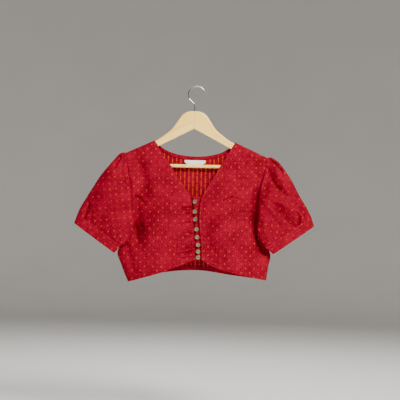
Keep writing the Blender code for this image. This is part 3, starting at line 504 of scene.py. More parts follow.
def buti_mark(tree, uv, wrong_side):
    """Where the orange yarn shows, and how strongly."""
    place = add(tree, "SeparateXYZ", {0: uv})
    column = calc(tree, "DIVIDE", place["X"], BUTI_ACROSS)
    number = calc(tree, "FLOOR", column)
    half = calc(tree, "FRACT", calc(tree, "MULTIPLY", number, 0.5))
    row = calc(tree, "ADD", calc(tree, "DIVIDE", place["Y"], BUTI_DOWN), half)
    across, down = calc(tree, "FRACT", column), calc(tree, "FRACT", row)
    which = add(tree, "CombineXYZ", {0: number, 1: calc(tree, "FLOOR", row)})[0]
    chance = add(tree, "TexWhiteNoise", {"Vector": which}, noise_dimensions="3D")["Value"]
    if wrong_side:
        # 3 mm floats with a gap where the yarn works the buti on the other side.
        beside = calc(tree, "ABSOLUTE", calc(tree, "SUBTRACT", across, 0.5))
        gap = calc(tree, "ABSOLUTE", calc(tree, "SUBTRACT", down, 0.5))
        beside = ranged(tree, beside, 0.10, 0.16, 1, 0)
        mark = calc(tree, "MULTIPLY", beside, ranged(tree, gap, 0.10, 0.15, 0.25, 1))
        return calc(tree, "MULTIPLY", mark, ranged(tree, chance, 0, 1, 0.7, 0.95))
    # A buti is 3.4 mm wide and 4.8 mm high, with an edge as uneven as the yarns.
    wide, high = ranged(tree, across, 0, 1, -3.4, 3.4), ranged(tree, down, 0, 1, -4.8, 4.8)
    oval = add(tree, "CombineXYZ", {0: wide, 1: high})[0]
    oval = add(tree, "VectorMath", {0: oval}, operation="LENGTH")["Value"]
    oval = calc(tree, "MULTIPLY_ADD", noise_of(tree, uv, 1300.0, 1.0), 0.7, oval)
    mark = ranged(tree, oval, 1.15, 1.55, 1, 0)
    return calc(tree, "MULTIPLY", mark, ranged(tree, chance, 0, 1, 0.12, 0.95))


def handloom_cotton(name, wrong_side=False, butis=True):
    """Handloom cotton with an extra weft: matt, a little napped, its yarn uneven.

    On the right side each buti is a small raised oval; on the wrong side its yarn floats down
    the column from one buti to the next, so it is striped. Yarns are drawn 1.4 mm apart, four
    times as coarse as the real ones, so that their slubs show.
    """
    made, tree = new_material(name)
    uv = add(tree, "UVMap", {}, uv_map="UVMap")["UV"]
    warp, weft = (noise_of(tree, uv, 1, 2, stretch) for stretch in ((700, 26, 1), (26, 700, 1)))
    height = yarn = calc(tree, "ADD", warp, weft)
    shade = calc(tree, "ADD", yarn, noise_of(tree, uv, 22, 4))
    shade = calc(tree, "ADD", shade, noise_of(tree, uv, 240, 2))
    colour = blend(tree, ranged(tree, shade, 1.74, 2.26, 0, 1), CRIMSON_DARK, CRIMSON)
    if butis:
        mark = buti_mark(tree, uv, wrong_side)
        colour = blend(tree, mark, colour, BUTI_ORANGE)
        height = calc(tree, "MULTIPLY_ADD", mark, 1.1, yarn)
    nap = {"Sheen Weight": 0.02, "Sheen Roughness": 0.4, "Sheen Tint": linear("#FF6070")}
    rough = ranged(tree, yarn, 0.6, 1.4, 0.78, 0.92)
    values = {"IOR": 1.47, "Specular IOR Level": 0.08} | nap
    finish_surface(tree, colour, rough, (height, 0.5, 0.00025), **values)
    return made


cotton = handloom_cotton("handloom_cotton_right_side")
cotton_back = handloom_cotton("handloom_cotton_wrong_side", wrong_side=True)


def placed(name, data):
    """An object of its data, at the scene's origin."""
    made = bpy.data.objects.new(name, data)
    bpy.context.scene.collection.objects.link(made)
    return made


def cloth_piece(name, points, grain, materials, thick=CLOTH, tube=False):
    """A grid of outer points made a thin shell with a wall inwards, its weave along its grain."""
    rows, columns = points.shape[:2]
    mesh = bmesh.new()
    bmesh.ops.create_grid(mesh, x_segments=columns - 1, y_segments=rows - 1, size=1)
    for vertex in mesh.verts:
        column = round((vertex.co.x + 1) / 2 * (columns - 1))
        row = round((vertex.co.y + 1) / 2 * (rows - 1))
        vertex.co = Vector(points[row, column]) * MM
    if tube:
        bmesh.ops.remove_doubles(mesh, verts=mesh.verts, dist=0.00001)
    mesh.normal_update()
    front = min(mesh.faces, key=lambda face: face.calc_center_median().y)
    facing = sum((face.normal * face.calc_area() for face in mesh.faces), Vector())
    outwards = -front.normal.y if tube else facing.y * (1 if name in FACING_BACK else -1)
    if outwards < 0:
        bmesh.ops.reverse_faces(mesh, faces=mesh.faces)
    turn = Matrix.Rotation(math.radians(grain), 2)
    weave = mesh.loops.layers.uv.get("UVMap") or mesh.loops.layers.uv.new("UVMap")
    for face in mesh.faces:
        for loop in face.loops:
            loop[weave].uv = turn @ Vector((loop.vert.co.x, loop.vert.co.z))
    data = bpy.data.meshes.new(name)
    mesh.to_mesh(data)
    mesh.free()
    data.shade_smooth()
    for finish in materials:
        data.materials.append(finish)
    piece = placed(name, data)
    wall = piece.modifiers.new("wall", "SOLIDIFY")
    wall.thickness = thick * MM
    wall.offset = -1
    wall.use_quality_normals = True
    wall.material_offset = len(materials) - 1
    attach(piece, "root")
    return piece


def stops(*runs):
    """Places along stretches that follow each other: from, to and how many for each."""
    return np.concatenate([[runs[0][0]]] + [np.linspace(*run)[1:] for run in runs])


FACING_BACK = ("back_panel", "neck_binding", "hem_fold", "label_tape")  # facing away in front
rows = stops((0, 0.04, 9), (0.04, 0.95, 190), (0.95, 1, 15))
near_side = np.linspace(0, 0.12, 26) ** 2 / 0.12
columns = np.concatenate([near_side, stops((0.12, 0.95, 92), (0.95, 1, 8))[1:]])
s, t = np.meshgrid(columns, rows)
for side, name in ((-1, "right"), (1, "left")):
    panel = cloth_piece("front_panel_" + name, front_points(side, s, t), 0, [cotton, cotton_back])
    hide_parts("front_" + name)


# ---- The back ----
# One piece from side seam to side seam, of the same cotton. Its wrong side, striped by the floats
# of the butis, is what shows through the neck; the shoulder seams lie over the hanger.

BACK_EASE = 0.25
# How much further out the back's armhole lies than the front's.
BACK_ARMHOLE_OUT = [
    Edge(0.00, 0, 0),
    Edge(0.12, 3, 0),
    Edge(0.24, 7, 0),
    Edge(0.36, 9.5, 0),
    Edge(0.48, 8, 0),
    Edge(0.56, 4.5, 0),
    Edge(0.60, 0, 0),
    Edge(1.00, 0, 0),
]
BACK_HEM = [
    Edge(0, -178, -538.5),
    Edge(0.25, -84, -512.5),
    Edge(0.5, 13, -504),
    Edge(0.75, 108, -515.5),
    Edge(1, 202, -526.5),
]
# The back's top edge, from shoulder tip to shoulder tip; the two neck points are corners.
BACK_NECK = [
    Edge(0.00, -113.4, -148.7),
    Edge(0.16, -86, -172),
    Edge(0.50, -1, -190.5),
    Edge(0.84, 82, -172.5),
    Edge(1.00, 108.3, -149.4),
]
BACK_SHOULDER = 0.20  # share of the back's width that each shoulder seam takes
BACK_DEPTH = [
    Section(0.00, 9.5, 9.5, 9.5, 9.5, 11),
    Section(0.12, 11, 11, 11.5, 12.5, 13),
    Section(0.25, 12, 12, 13.5, 15.5, 16),
    Section(0.40, 10, 12, 16, 19, 19),
    Section(0.52, 9, 12, 19, 22, 22),
    Section(0.60, 7, 11, 20, 24, 24),
    Section(0.70, 10, 18, 22, 25, 25),
    Section(0.85, 14, 18, 19, 19, 19),
    Section(1.00, 13, 15, 14, 12, 12),
]
FOLDS_BACK = [
    Fold(-150, -230, -120, -420, 18, 4),
    Fold(150, -235, 128, -430, 18, 4),
    Fold(-40, -300, -60, -480, 24, -3),
    Fold(60, -290, 75, -470, 24, -3),
    Fold(5, -240, 8, -430, 22, 2),
]
CREASES_BACK = [
    ([(-176, -200), (-150, -240), (-138, -296)], (6, 9), (0.8, 1.8, 0.4)),
    ([(-170, -300), (-152, -345), (-148, -402)], (8, 9), (1.2, 2.4, 0.6)),
    ([(-120, -190), (-96, -250), (-90, -330)], (9, 10), (0.3, 1.1, 0.4)),
    ([(-60, -215), (-40, -300), (-46, -390)], (12, 10), (0.3, 1, 0.3)),
    ([(-108, -400), (-116, -450), (-110, -500)], (9, 11), (0.4, 1.8, 0.9)),
    ([(-20, -380), (-30, -440), (-26, -490)], (10, 12), (0.2, 1.1, 0.7)),
    ([(44, -230), (36, -320), (50, -410)], (10, 12), (0.3, 1.2, 0.3)),
    ([(60, -410), (72, -460), (70, -500)], (9, 8), (0.3, 1.4, 0.8)),
    ([(112, -196), (104, -262), (110, -330)], (9, 8), (0.4, 1.3, 0.3)),
    ([(178, -206), (158, -250), (146, -312)], (7, 9), (0.8, 2, 0.4)),
    ([(176, -310), (160, -362), (164, -420)], (8, 10), (1.2, 2.2, 0.8)),
    ([(130, -400), (142, -452), (138, -505)], (9, 10), (0.4, 1.7, 0.8)),
    ([(-180, -450), (-172, -484), (-166, -520)], (6, 8), (1, 1.4, 0.6)),
    ([(200, -452), (186, -488), (186, -516)], (7, 6), (1, 1.5, 0.6)),
]

BACK_FOLD_FROM_SIDE = 0.4
BACK_OFF_SIDE = 0.05
BACK_SEAM = 0.9  # how plump and how uneven it is beside its armholes


def back_edge(side, t):
    """The back's outer edge, which leaves the front's along the armhole."""
    armhole = ARMHOLE_RIGHT if side < 0 else ARMHOLE_LEFT
    edge = smooth(armhole, t)
    edge[..., 0] += side * np.where(t < UNDERARM, smooth(BACK_ARMHOLE_OUT, t)[..., 0], 0.0)
    return edge


def back_top(s):
    """Shoulder seam, neck curve, shoulder seam."""
    edges = []
    for side, neck, share in ((-1, NECK_RIGHT, s), (1, NECK_LEFT, 1 - s)):
        f = (share / BACK_SHOULDER)[..., None]
        edges.append((1 - f) * back_edge(side, np.zeros(1))[0] + f * np.array(neck[1:], float))
    curve = smooth(BACK_NECK, np.clip((s - BACK_SHOULDER) / (1 - 2 * BACK_SHOULDER), 0.0, 1.0))
    beyond = (s > 1 - BACK_SHOULDER)[..., None]
    return np.where((s < BACK_SHOULDER)[..., None], edges[0], np.where(beyond, edges[1], curve))


def back_points(s, t):
    """Points of the back's outer face; s runs from the wearer's right to the left."""
    s, t = np.broadcast_arrays(np.asarray(s, float), np.asarray(t, float))
    flat = flat_patch(
        back_top,
        lambda a: smooth(BACK_HEM, a),
        lambda b: back_edge(-1, b),
        lambda b: back_edge(1, b),
        s,
        t,
    )
    x, z = flat[..., 0], flat[..., 1]
    from_side = 1 - abs(2 * s - 1)
    depth = roll_to_seam(across_depth(BACK_DEPTH, t, from_side), from_side, t)
    inside = np.sin(math.pi * np.minimum(from_side / BACK_FOLD_FROM_SIDE, 0.5))
    turned = over_hanger(x, z)
    off_side = smoothstep(from_side / BACK_OFF_SIDE)
    y = (depth - fold_depth(FOLDS_BACK, x, z) * inside) * turned
    y += (rumpled(RUMPLES, x, z, 9) - crease_depth(CREASES_BACK, x, z)) * off_side * turned
    swell, pucker = beside_seam(from_side * HALF_BODY, x, z, 11)
    y += BACK_SEAM * (swell + pucker) * smoothstep((UNDERARM - t) / PUCKER_FADE) * turned
    y -= stitched_in(z - smooth(BACK_HEM, s)[..., 1], HEM_STITCHES) * off_side
    return np.stack([x, y + seam_half(t), z], -1)


rows = stops((0, 0.04, 9), (0.04, 0.95, 118), (0.95, 1, 13))
half = np.concatenate([np.linspace(0, 0.06, 20) ** 2 / 0.06, np.linspace(0.06, 0.5, 62)[1:]])
columns = np.concatenate([half, 1 - half[-2::-1]])
columns[np.abs(columns - BACK_SHOULDER).argmin()] = BACK_SHOULDER
columns[np.abs(columns - 1 + BACK_SHOULDER).argmin()] = 1 - BACK_SHOULDER
s, t = np.meshgrid(columns, rows)
back = cloth_piece("back_panel", back_points(s, t), 0, [cotton, cotton_back])
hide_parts("back")


# ---- Neck binding, hem and label ----
# A bias binding of plain red cotton round the back neck, the hem turned up inside the back, and a
# woven tape with mitred ends, sewn below the binding and left bare.

TRIM = 0.5
TRIM_GAP = 0.45  # between them and the back that they are sewn to


def inside_back(s, t, proud):
    """Points that lie inside the back, a little off its wrong side."""
    place = back_points(s, t)
    across = back_points(s + 0.002, t) - back_points(s - 0.002, t)
    down = back_points(s, np.minimum(t + 0.004, 1)) - back_points(s, np.maximum(t - 0.004, 0))
    normal = np.cross(across, down)
    normal /= np.linalg.norm(normal, axis=-1)[..., None]
    normal *= np.sign(normal[..., 1:2])
    return place - normal * proud


def below_edge(s, drop):
    """The shares down the back that lie a drop below its neck, or above its hem if negative."""
    shares = np.linspace(0, 1, 401)
    z = back_points(*np.meshgrid(s, shares))[..., 2]
    down = z[:1] - z if drop >= 0 else z[-1:] - z
    return np.array([np.interp(drop, column, shares) for column in down.T])


inner_red = handloom_cotton("plain_red_bias_cotton", butis=False)
s = np.linspace(0.225, 0.775, 121)
drops = np.array([below_edge(s, drop) for drop in np.linspace(0.3, 10.3, 7)])
points = inside_back(np.broadcast_to(s, drops.shape), drops, CLOTH + TRIM_GAP)
binding = cloth_piece("neck_binding", points, 45, [inner_red], TRIM)
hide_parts("neck_facing")

s = np.linspace(0.05, 0.95, 171)
drops = np.array([below_edge(s, -rise) for rise in np.linspace(12.0, 0.6, 8)])
points = inside_back(np.broadcast_to(s, drops.shape), drops, CLOTH + TRIM_GAP)
hem = cloth_piece("hem_fold", points, 0, [cotton], TRIM)
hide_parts("hem_turn")

# The tape: polyester satin, white, close and smooth, with a soft gloss.
tape_white, tree = new_material("woven_satin_tape")
uv = add(tree, "UVMap", {}, uv_map="UVMap")["UV"]
ribs = noise_of(tree, uv, 1, 2, (120, 1600, 1))
white = blend(tree, ribs, "#D9D4CC", "#FBF8F2")
gloss = {"IOR": 1.5, "Sheen Weight": 0.1}
finish_surface(tree, white, 0.42, (ribs, 0.35, 0.0001), **gloss)

LABEL_TOP = 58.0
LABEL_FOOT = 40.0
LABEL_WAVE = 0.4
low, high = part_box("neck_label")
s = np.linspace(-0.5, 0.5, 31)
down = np.linspace(0, 1, 13)[:, None]
wide = LABEL_TOP + (LABEL_FOOT - LABEL_TOP) * smoothstep((down - 0.25) / 0.75)
middle = (low.x + high.x) / 2 / MM
x = middle + wide * s
z = high.z / MM - (high.z - low.z) / MM * down + 0 * x
y = low.y / MM + 0.25 + LABEL_WAVE * np.sin(3 * math.pi * s) * down + 0.25 * uneven(x, z, 9, 3)
tape = cloth_piece("label_tape", np.stack([x, y + 0 * x, z], -1), 0, [tape_white], 0.4)
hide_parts("neck_label")


# ---- The sleeves ----
# Short puffed sleeves, each a tube with its seam under the arm. The head is eased and pleated into
# the armhole, and the lower edge is pleated into the cuff.

Ring = namedtuple("Ring", "share outer_x outer_y outer_z inner_x inner_y inner_z front back aside")
# Sleeve sections from armhole to cuff seam, each an oval between its outer and inner edge;
# aside is how far its back keeps out beside the body.
SLEEVE_RIGHT = [
    Ring(0.00, -190.7, 0, -183.8, -173, -2, -402, 12, 12, 0),
    Ring(0.07, -207, -1, -187, -169, -18, -404, 18, 15, 16),
    Ring(0.15, -224, -3, -205.5, -167, -22, -408, 23, 16, 24),
    Ring(0.35, -255, -7, -243, -172, -26, -418, 27, 15, 18),
    Ring(0.60, -288, -11, -296, -183, -28, -429, 24, 13, 8),
    Ring(0.85, -312, -14, -338, -192, -30, -437, 17, 11, 2),
    Ring(1.00, -319.3, -15, -354.5, -197.2, -30, -439.3, 12, 10, 0),
]
SLEEVE_LEFT = [
    Ring(0.00, 197.8, 0, -190, 181, -2, -402, 12, 12, 0),
    Ring(0.07, 209, -1, -189, 178.5, -18, -404, 18, 15, 16),
    Ring(0.15, 225, -3, -199, 176.5, -22, -407, 23, 16, 24),
    Ring(0.35, 257, -7, -238, 179.5, -26, -415, 27, 15, 18),
    Ring(0.60, 286.5, -11, -290, 187, -28, -426, 24, 13, 8),
    Ring(0.85, 312, -14, -332, 193.5, -30, -433, 17, 11, 2),
    Ring(1.00, 320.5, -15, -348.5, 196.3, -30, -436.2, 12, 10, 0),
]
# The cuff's lower edge, as one more oval for each sleeve.
HEM_RING_RIGHT = Ring(1, -328.3, -16, -381, -215.8, -31, -459.8, 12, 10, 0)
HEM_RING_LEFT = Ring(1, 329.3, -16, -375, 218.4, -31, -453.4, 12, 10, 0)
FOLDS_SLEEVE_RIGHT = [
    Fold(-206, -200, -243, -245, 9, 5),
    Fold(-284, -330, -292, -352, 5, 4),
    Fold(-215, -240, -250, -330, 20, -4),
    Fold(-190, -300, -215, -410, 16, 4),
    Fold(-300, -300, -308, -345, 6, -3),
]
FOLDS_SLEEVE_LEFT = [
    Fold(203, -194, 214, -252, 8, 7),
    Fold(214, -252, 248, -296, 8, 5),
    Fold(209, -193, 262, -248, 8, 7),
    Fold(224, -215, 256, -285, 9, -5),
    Fold(283, -340, 287, -366, 4, 5),
    Fold(288, -322, 300, -352, 4, 5),
    Fold(294, -345, 297, -362, 4, -3),
]
CREASES_SLEEVE_RIGHT = [
    ([(-207, -196), (-213, -207), (-222, -224)], (3, 5), (6, 8.5, 2)),
    ([(-193, -196), (-199, -215), (-203, -235)], (4, 6), (1.4, 1.4, 0.3)),
    ([(-240, -236), (-259, -270), (-278, -304), (-290, -327)], (9, 12), (0.8, 3.2, 1)),
    ([(-289, -324), (-294, -343), (-300, -366)], (3, 5), (3, 9, 6)),
    ([(-277, -343), (-279, -360), (-281, -378)], (3, 5), (0.3, 1.6, 1.8)),
    ([(-252, -362), (-253, -376), (-254, -395)], (4, 5), (0.2, 1.3, 1.7)),
    ([(-228, -370), (-227, -393), (-230, -409)], (4, 6), (0.2, 1.4, 1.8)),
    ([(-193, -212), (-187, -257), (-180, -296)], (10, 7), (-0.6, -1.8, -1.2)),
    ([(-214, -263), (-216, -302), (-223, -345)], (12, 14), (0.3, 1.8, 0.6)),
    ([(-190, -336), (-186, -369), (-197, -406)], (9, 11), (0.4, 1.9, 1)),
    ([(-250, -303), (-259, -337), (-271, -363)], (11, 13), (-0.3, -1.6, -0.5)),
    ([(-206, -406), (-203, -420), (-207, -434)], (4, 5), (0.5, 1.8, 1.4)),
]
CREASES_SLEEVE_LEFT = [
    ([(197, -189), (212, -196), (229, -211), (241, -229), (254, -252)], (3, 2.5), (9, 10, 1)),
    ([(196, -209), (208, -240), (222, -264), (241, -283), (258, -300)], (4, 2.5), (5, 8.5, 1)),
    ([(199, -203), (217, -231), (239, -258), (259, -286)], (6, 6), (-1.4, -3.4, -0.8)),
    ([(247, -244), (264, -277), (282, -308), (297, -332)], (7, 9), (0.5, 2.2, 0.6)),
    ([(195, -307), (216, -323), (242, -347), (271, -372)], (21, 2.5), (8, 18, 14)),
    ([(196, -300), (240, -317), (280, -336)], (6, 4), (-0.6, -2.4, -1)),
    ([(189, -307), (215, -337), (241, -362), (264, -380)], (6, 9), (-2, -5, -2)),
    ([(278, -332), (289, -350), (288, -369)], (3, 3), (1, 4.4, 4.4)),
    ([(284, -320), (301, -335), (299, -356)], (3, 3), (1, 4.2, 4.4)),
    ([(286, -327), (297, -347), (295, -363)], (3, 3), (-0.6, -2.2, -1.6)),
    ([(306, -332), (311, -343), (311, -355)], (3, 3), (0.4, 1.8, 2)),
    ([(255, -359), (262, -370), (270, -378)], (3, 4), (0.6, 2, 2.4)),
    ([(227, -382), (236, -396), (242, -404)], (4, 5), (0.3, 1.5, 1.9)),
    ([(196, -366), (205, -391), (213, -413)], (6, 9), (0.6, 2, 1.4)),
    ([(180, -293), (184, -315), (186, -338)], (5, 7), (0.5, 1.4, 0.4)),
    ([(193, -248), (191, -270), (195, -293)], (6, 7), (0.4, 1.3, 0.4)),
]
CREASES_SLEEVE_BACK = [
    ([(200, -196), (222, -216), (246, -246)], (5, 4), (1.8, 2.6, 0.4)),
    ([(202, -222), (216, -262), (240, -300)], (7, 6), (1.4, 2.4, 0.5)),
    ([(214, -300), (240, -334), (268, -366)], (9, 7), (0.6, 2.4, 0.8)),
    ([(262, -264), (282, -300), (296, -336)], (8, 7), (0.4, 1.8, 1)),
    ([(198, -330), (206, -372), (222, -412)], (8, 9), (0.6, 1.8, 1)),
    ([(300, -334), (302, -346), (304, -360)], (3, 3), (0.4, 1.8, 2)),
    ([(284, -346), (286, -358), (288, -370)], (3, 3), (0.4, 1.8, 2)),
    ([(256, -366), (258, -378), (262, -390)], (3, 4), (0.4, 1.5, 1.8)),
    ([(232, -384), (234, -396), (240, -408)], (4, 4), (0.4, 1.4, 1.6)),
]
FLUSH_SLEEVE = {-1: 10.0, 1: 6.0}  # how flat each sleeve leaves the upper part of its armhole
FLUSH_SLEEVE_AT, FLUSH_SLEEVE_WIDE, FLUSH_SLEEVE_START = 0.12, 0.1, 0.04
UPPER_TURN, UPPER_FADE = 0.34, 0.12
SLEEVE_ROLL = {-1: 3.0, 1: 6.0}  # how full it stands beside the lower part
ROLL_AT, ROLL_WIDE, ROLL_START = 0.035, 0.03, 0.012
ROLL_TURNS = (0.16, 0.1, 0.46, 0.08)
BEHIND_TURNS = (0.42, 0.05, 0.98, 0.1)  # where the sleeve's back keeps off the back's edge
SLEEVE_LONG, SLEEVE_ROUND = 150, 420  # about how long a sleeve is, and how far round
OFF_SEAM, CREASES_START, BACK_CREASES_START = 0.12, 0.02, 0.03
OVER_TOP = 0.5  # how far a crease also draws in the upper edge
TUCK_SIZE, TUCK_LONG, TUCK_REACH, TUCK_DEPTH, TUCK_HEAD = 6, 26, 12, 1.3, 1.4
SLEEVE_RUMPLES = ((36, 0.8), (13, 0.35))
RING_POINTS = 26  # the armhole's, down the front and up the back
RING_SHARES = [0.0, 0.0009, 0.009] + [0.032 + 0.0568 * i for i in range(11)]


def armhole_points(side, v):
    """Points of the armhole at turns v, from the shoulder tip down the front and up the back."""
    place = (v % 1.0) * RING_POINTS
    t = np.interp(np.minimum(place, RING_POINTS - place), range(14), RING_SHARES)
    front = front_points(side, 0.0, t)
    back = back_points(0.0 if side < 0 else 1.0, t)
    return np.where((place <= RING_POINTS / 2)[..., None], front, back)


def oval_points(ring, v):
    """Points at turns v of the ovals that rings of nine numbers name."""
    turn = 2 * math.pi * v
    share = ((1 + np.cos(turn)) / 2)[..., None]
    centre = share * ring[..., :3] + (1 - share) * ring[..., 3:6]
    up = np.sin(turn)
    centre[..., 1] -= np.where(up > 0, ring[..., 6], ring[..., 7]) * up
    beside = np.copysign(ring[..., 8], ring[..., 0]) * np.maximum(-up, 0) * (1 - share[..., 0])
    centre[..., 0] += beside
    return centre


def sleeve_points(side, s, v):
    """Points of a sleeve's outer face: s runs to the cuff, v from the top over the front."""
    table = SLEEVE_RIGHT if side < 0 else SLEEVE_LEFT
    folds = FOLDS_SLEEVE_RIGHT if side < 0 else FOLDS_SLEEVE_LEFT
    creases = CREASES_SLEEVE_RIGHT if side < 0 else CREASES_SLEEVE_LEFT
    oval = oval_points(smooth(table, s), v)
    start = oval_points(smooth(table, 0 * s), v)
    points = oval + (armhole_points(side, v) - start) * ((1 - s) ** 2)[..., None]
    points[..., 0] += side * (SEAM / 2 + BACK_EASE * within(v, *BEHIND_TURNS)) * (1 - s)
    x, z = points[..., 0], points[..., 2]
    up = np.sin(2 * math.pi * v)
    front, rear = np.maximum(up, 0.0) ** 0.5, np.maximum(-up, 0.0) ** 0.5
    off_seam = rounded(s / OFF_SEAM)
    y = fold_depth(folds, x, z) * front * off_seam
    crease = crease_depth(creases, x, z) * front * smoothstep(s / CREASES_START)
    y += crease
    over = OVER_TOP * crease * np.maximum(np.cos(2 * math.pi * v), 0.0)
    points[..., 0] -= side * over
    points[..., 2] -= over
    y -= crease_depth(CREASES_SLEEVE_BACK, abs(x), z) * rear * smoothstep(s / BACK_CREASES_START)
    swell = 1 - bell(s * SLEEVE_LONG / SWELL_REACH)
    head = TUCK_HEAD * SEAM_PUCKER[side] * bell(s * SLEEVE_LONG / TUCK_REACH)
    gathered = head + bell((1 - s) * SLEEVE_LONG / TUCK_REACH)
    tucks = uneven(v * SLEEVE_ROUND, s * TUCK_LONG, TUCK_SIZE, side + 20)
    tucks = tucks * gathered * swell * smoothstep((1 - s) / 0.01)
    y += (-SEAM_SWELL[side] * swell + TUCK_DEPTH * tucks) * up
    upper = smoothstep((UPPER_TURN - v) / UPPER_FADE) * smoothstep(s / FLUSH_SLEEVE_START)
    y += FLUSH_SLEEVE[side] * bell((s - FLUSH_SLEEVE_AT) / FLUSH_SLEEVE_WIDE) * upper * front
    roll = bell((s - ROLL_AT) / ROLL_WIDE) * smoothstep(s / ROLL_START)
    y -= SLEEVE_ROLL[side] * roll * within(v, *ROLL_TURNS)
    y += rumpled(SLEEVE_RUMPLES, x, z, side + 15) * off_seam * up
    points[..., 1] += y
    return points


v = np.linspace(0, 1, 12 * RING_POINTS + 1)
v, s = np.meshgrid(v, stops((0, 0.06, 12), (0.06, 1, 92)))
for side, name in ((-1, "right"), (1, "left")):
    finishes = [cotton, cotton_back]
    points = sleeve_points(side, s, v)
    sleeve = cloth_piece("puff_sleeve_" + name, points, side * -38, finishes, tube=True)
    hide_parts("sleeve_" + name)


# ---- The cuffs ----
# A straight band, folded double and sewn round each sleeve's pleated edge, with a stitch line
# along its seam.

CUFF_OVER_SEAM = 0.003
CUFF_CROWN, CUFF_WIDE, CUFF_STITCHES = 0.6, 22, 0.1


def cuff_points(side, s, v):
    """Points of a cuff's outer face; s runs from its seam to the sleeve's hem."""
    top = np.array((SLEEVE_RIGHT if side < 0 else SLEEVE_LEFT)[-1][1:], float)
    hem = np.array((HEM_RING_RIGHT if side < 0 else HEM_RING_LEFT)[1:], float)
    share = (CUFF_OVER_SEAM + (1 - CUFF_OVER_SEAM) * s)[..., None]
    points = oval_points((1 - share) * top + share * hem, v)
    up = np.sin(2 * math.pi * v)
    crown = CUFF_CROWN * np.sin(math.pi * np.clip(s * 1.15, 0, 1))
    crown -= 0.25 * bell((s - CUFF_STITCHES) / 0.05)
    around, down = v * SLEEVE_ROUND, s * CUFF_WIDE
    wave = 0.5 * uneven(around, down, 26, side + 30) + 0.25 * uneven(around, down, 9, side + 31)
    points[..., 1] -= (crown + wave * smoothstep(s / 0.1)) * up
    return points


v = np.linspace(0, 1, 6 * RING_POINTS + 1)
v, s = np.meshgrid(v, np.linspace(0, 1, 19))
for side, name in ((-1, "right"), (1, "left")):
    points = cuff_points(side, s, v)
    cuff = cloth_piece("cuff_band_" + name, points, side * -35, [cotton], 1.0, tube=True)
    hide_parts("cuff_" + name)


# ---- The button stand ----
# A narrow doubled strip sewn to the left front, which the right front laps over. It carries the
# buttons.

Button = namedtuple("Button", "x z lean")
BUTTONS = [
    Button(1.1, -315.2, 0),
    Button(1.2, -341.9, 0),
    Button(3.1, -363.0, 0),
    Button(7.0, -390.4, 4),
    Button(9.2, -411.8, 4),
    Button(12.4, -432.7, 0),
    Button(12.9, -451.3, 14),
    Button(13.2, -467.0, 8),
]
STAND_TOP = -300.6
STAND_BOTTOM = -475.5
STAND_UNDERLAP = 9.0  # how far the stand runs in behind the right front
STAND_DEPTH = [(-302.0, -22.0), (-340.0, -22.6), (-420.0, -22.4), (-476.0, -21.0)]
STAND = 1.0
STAND_DIP, DIP_AT, DIP_WIDE = 5.0, 0.8, 1.9  # it falls in next to the right front, by the loops
STAND_SHORT = 0.6  # how far it ends from the left front's edge
STAND_RUMPLE, STAND_RUMPLE_SIZE, STAND_RIPPLE, STAND_RIPPLE_LONG = 0.25, 14, 0.12, 1.9


def stand_depth(z):
    """How far forward the stand's outer face lies at a height."""
    heights, depths = zip(*reversed(STAND_DEPTH))
    return np.interp(z, heights, depths)


def edge_at(edge, z):
    """Where a centre front edge is at a height, from side to side."""
    drop = (edge[0].z - z) / (edge[0].z - edge[-1].z)
    return smooth(edge, np.clip(drop, 0, 1))[..., :1]


z = np.linspace(STAND_TOP, STAND_BOTTOM, 101)[:, None]
start, end = (edge_at(edge, z[:, 0]) for edge in (CENTRE_RIGHT, CENTRE_LEFT))
wide = end - STAND_SHORT - start + STAND_UNDERLAP
x = start - STAND_UNDERLAP + wide * np.linspace(0, 1, 49)
y = stand_depth(z) + STAND_RUMPLE * uneven(x, z + 0 * x, STAND_RUMPLE_SIZE, 40)
y = y + STAND_RIPPLE * np.sin(z / STAND_RIPPLE_LONG)
y += STAND_DIP * bell((x - start - DIP_AT) / DIP_WIDE)
strip = cloth_piece("stand_strip", np.stack([x, y, z + 0 * x], -1), 0, [cotton], STAND)
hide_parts("button_stand")


# ---- The buttons ----
# Eight turned coconut-shell buttons, 12 mm, with a raised rim round a dished face and two holes,
# sewn on with red thread that is wound into a shank.

# Coconut shell: turned and half polished, olive tan, with short dark fibres along its grain.
shell_tan, tree = new_material("turned_coconut_shell")
place = add(tree, "TexCoord", {})["Object"]
fibres = noise_of(tree, place, 1500, 3, (1, 1, 0.18))
tone = calc(tree, "MULTIPLY_ADD", noise_of(tree, place, 55, 1), 0.55, fibres)
tan = blend(tree, ranged(tree, tone, 0.55, 0.98, 0, 1), "#3F331E", "#84754B")
rough = ranged(tree, fibres, 0, 1, 0.3, 0.5)
finish_surface(tree, tan, rough, (fibres, 0.3, 0.0002), IOR=1.53)

# Sewing thread: spun polyester, red, two plies that catch the light.
thread_red, tree = new_material("spun_polyester_thread")
place = add(tree, "TexCoord", {})["Object"]
plies = noise_of(tree, place, 2600, 1)
red = blend(tree, plies, "#6F0916", "#A21D28")
finish_surface(tree, red, 0.55, (plies, 0.4, 0.0001), **{"Sheen Weight": 0.15})

BUTTON_RADIUS = 6.0
BUTTON_THICK = 2.8
SHANK = 2.7
HOLE_APART = 2.6
HOLE_RADIUS = 0.75
face = SHANK + BUTTON_THICK
BUTTON_PROFILE = [
    (0, face - 1.0),
    (2.8, face - 0.9),
    (3.8, face - 0.55),
    (4.4, face - 0.05),
    (5.0, face),
    (5.6, face - 0.3),
    (BUTTON_RADIUS, face - 1.0),
    (5.8, face - 1.7),
    (4.8, SHANK + 0.1),
    (3.0, SHANK),
    (0, SHANK),
]


def solid_from(name, mesh, finish):
    """An object of a finished bmesh, smooth but for its sharp edges, riding on the blouse."""
    data = bpy.data.meshes.new(name)
    mesh.to_mesh(data)
    mesh.free()
    data.materials.append(finish)
    data.shade_smooth()
    data.set_sharp_from_angle(angle=math.radians(38))
    piece = placed(name, data)
    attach(piece, "root")
    return piece


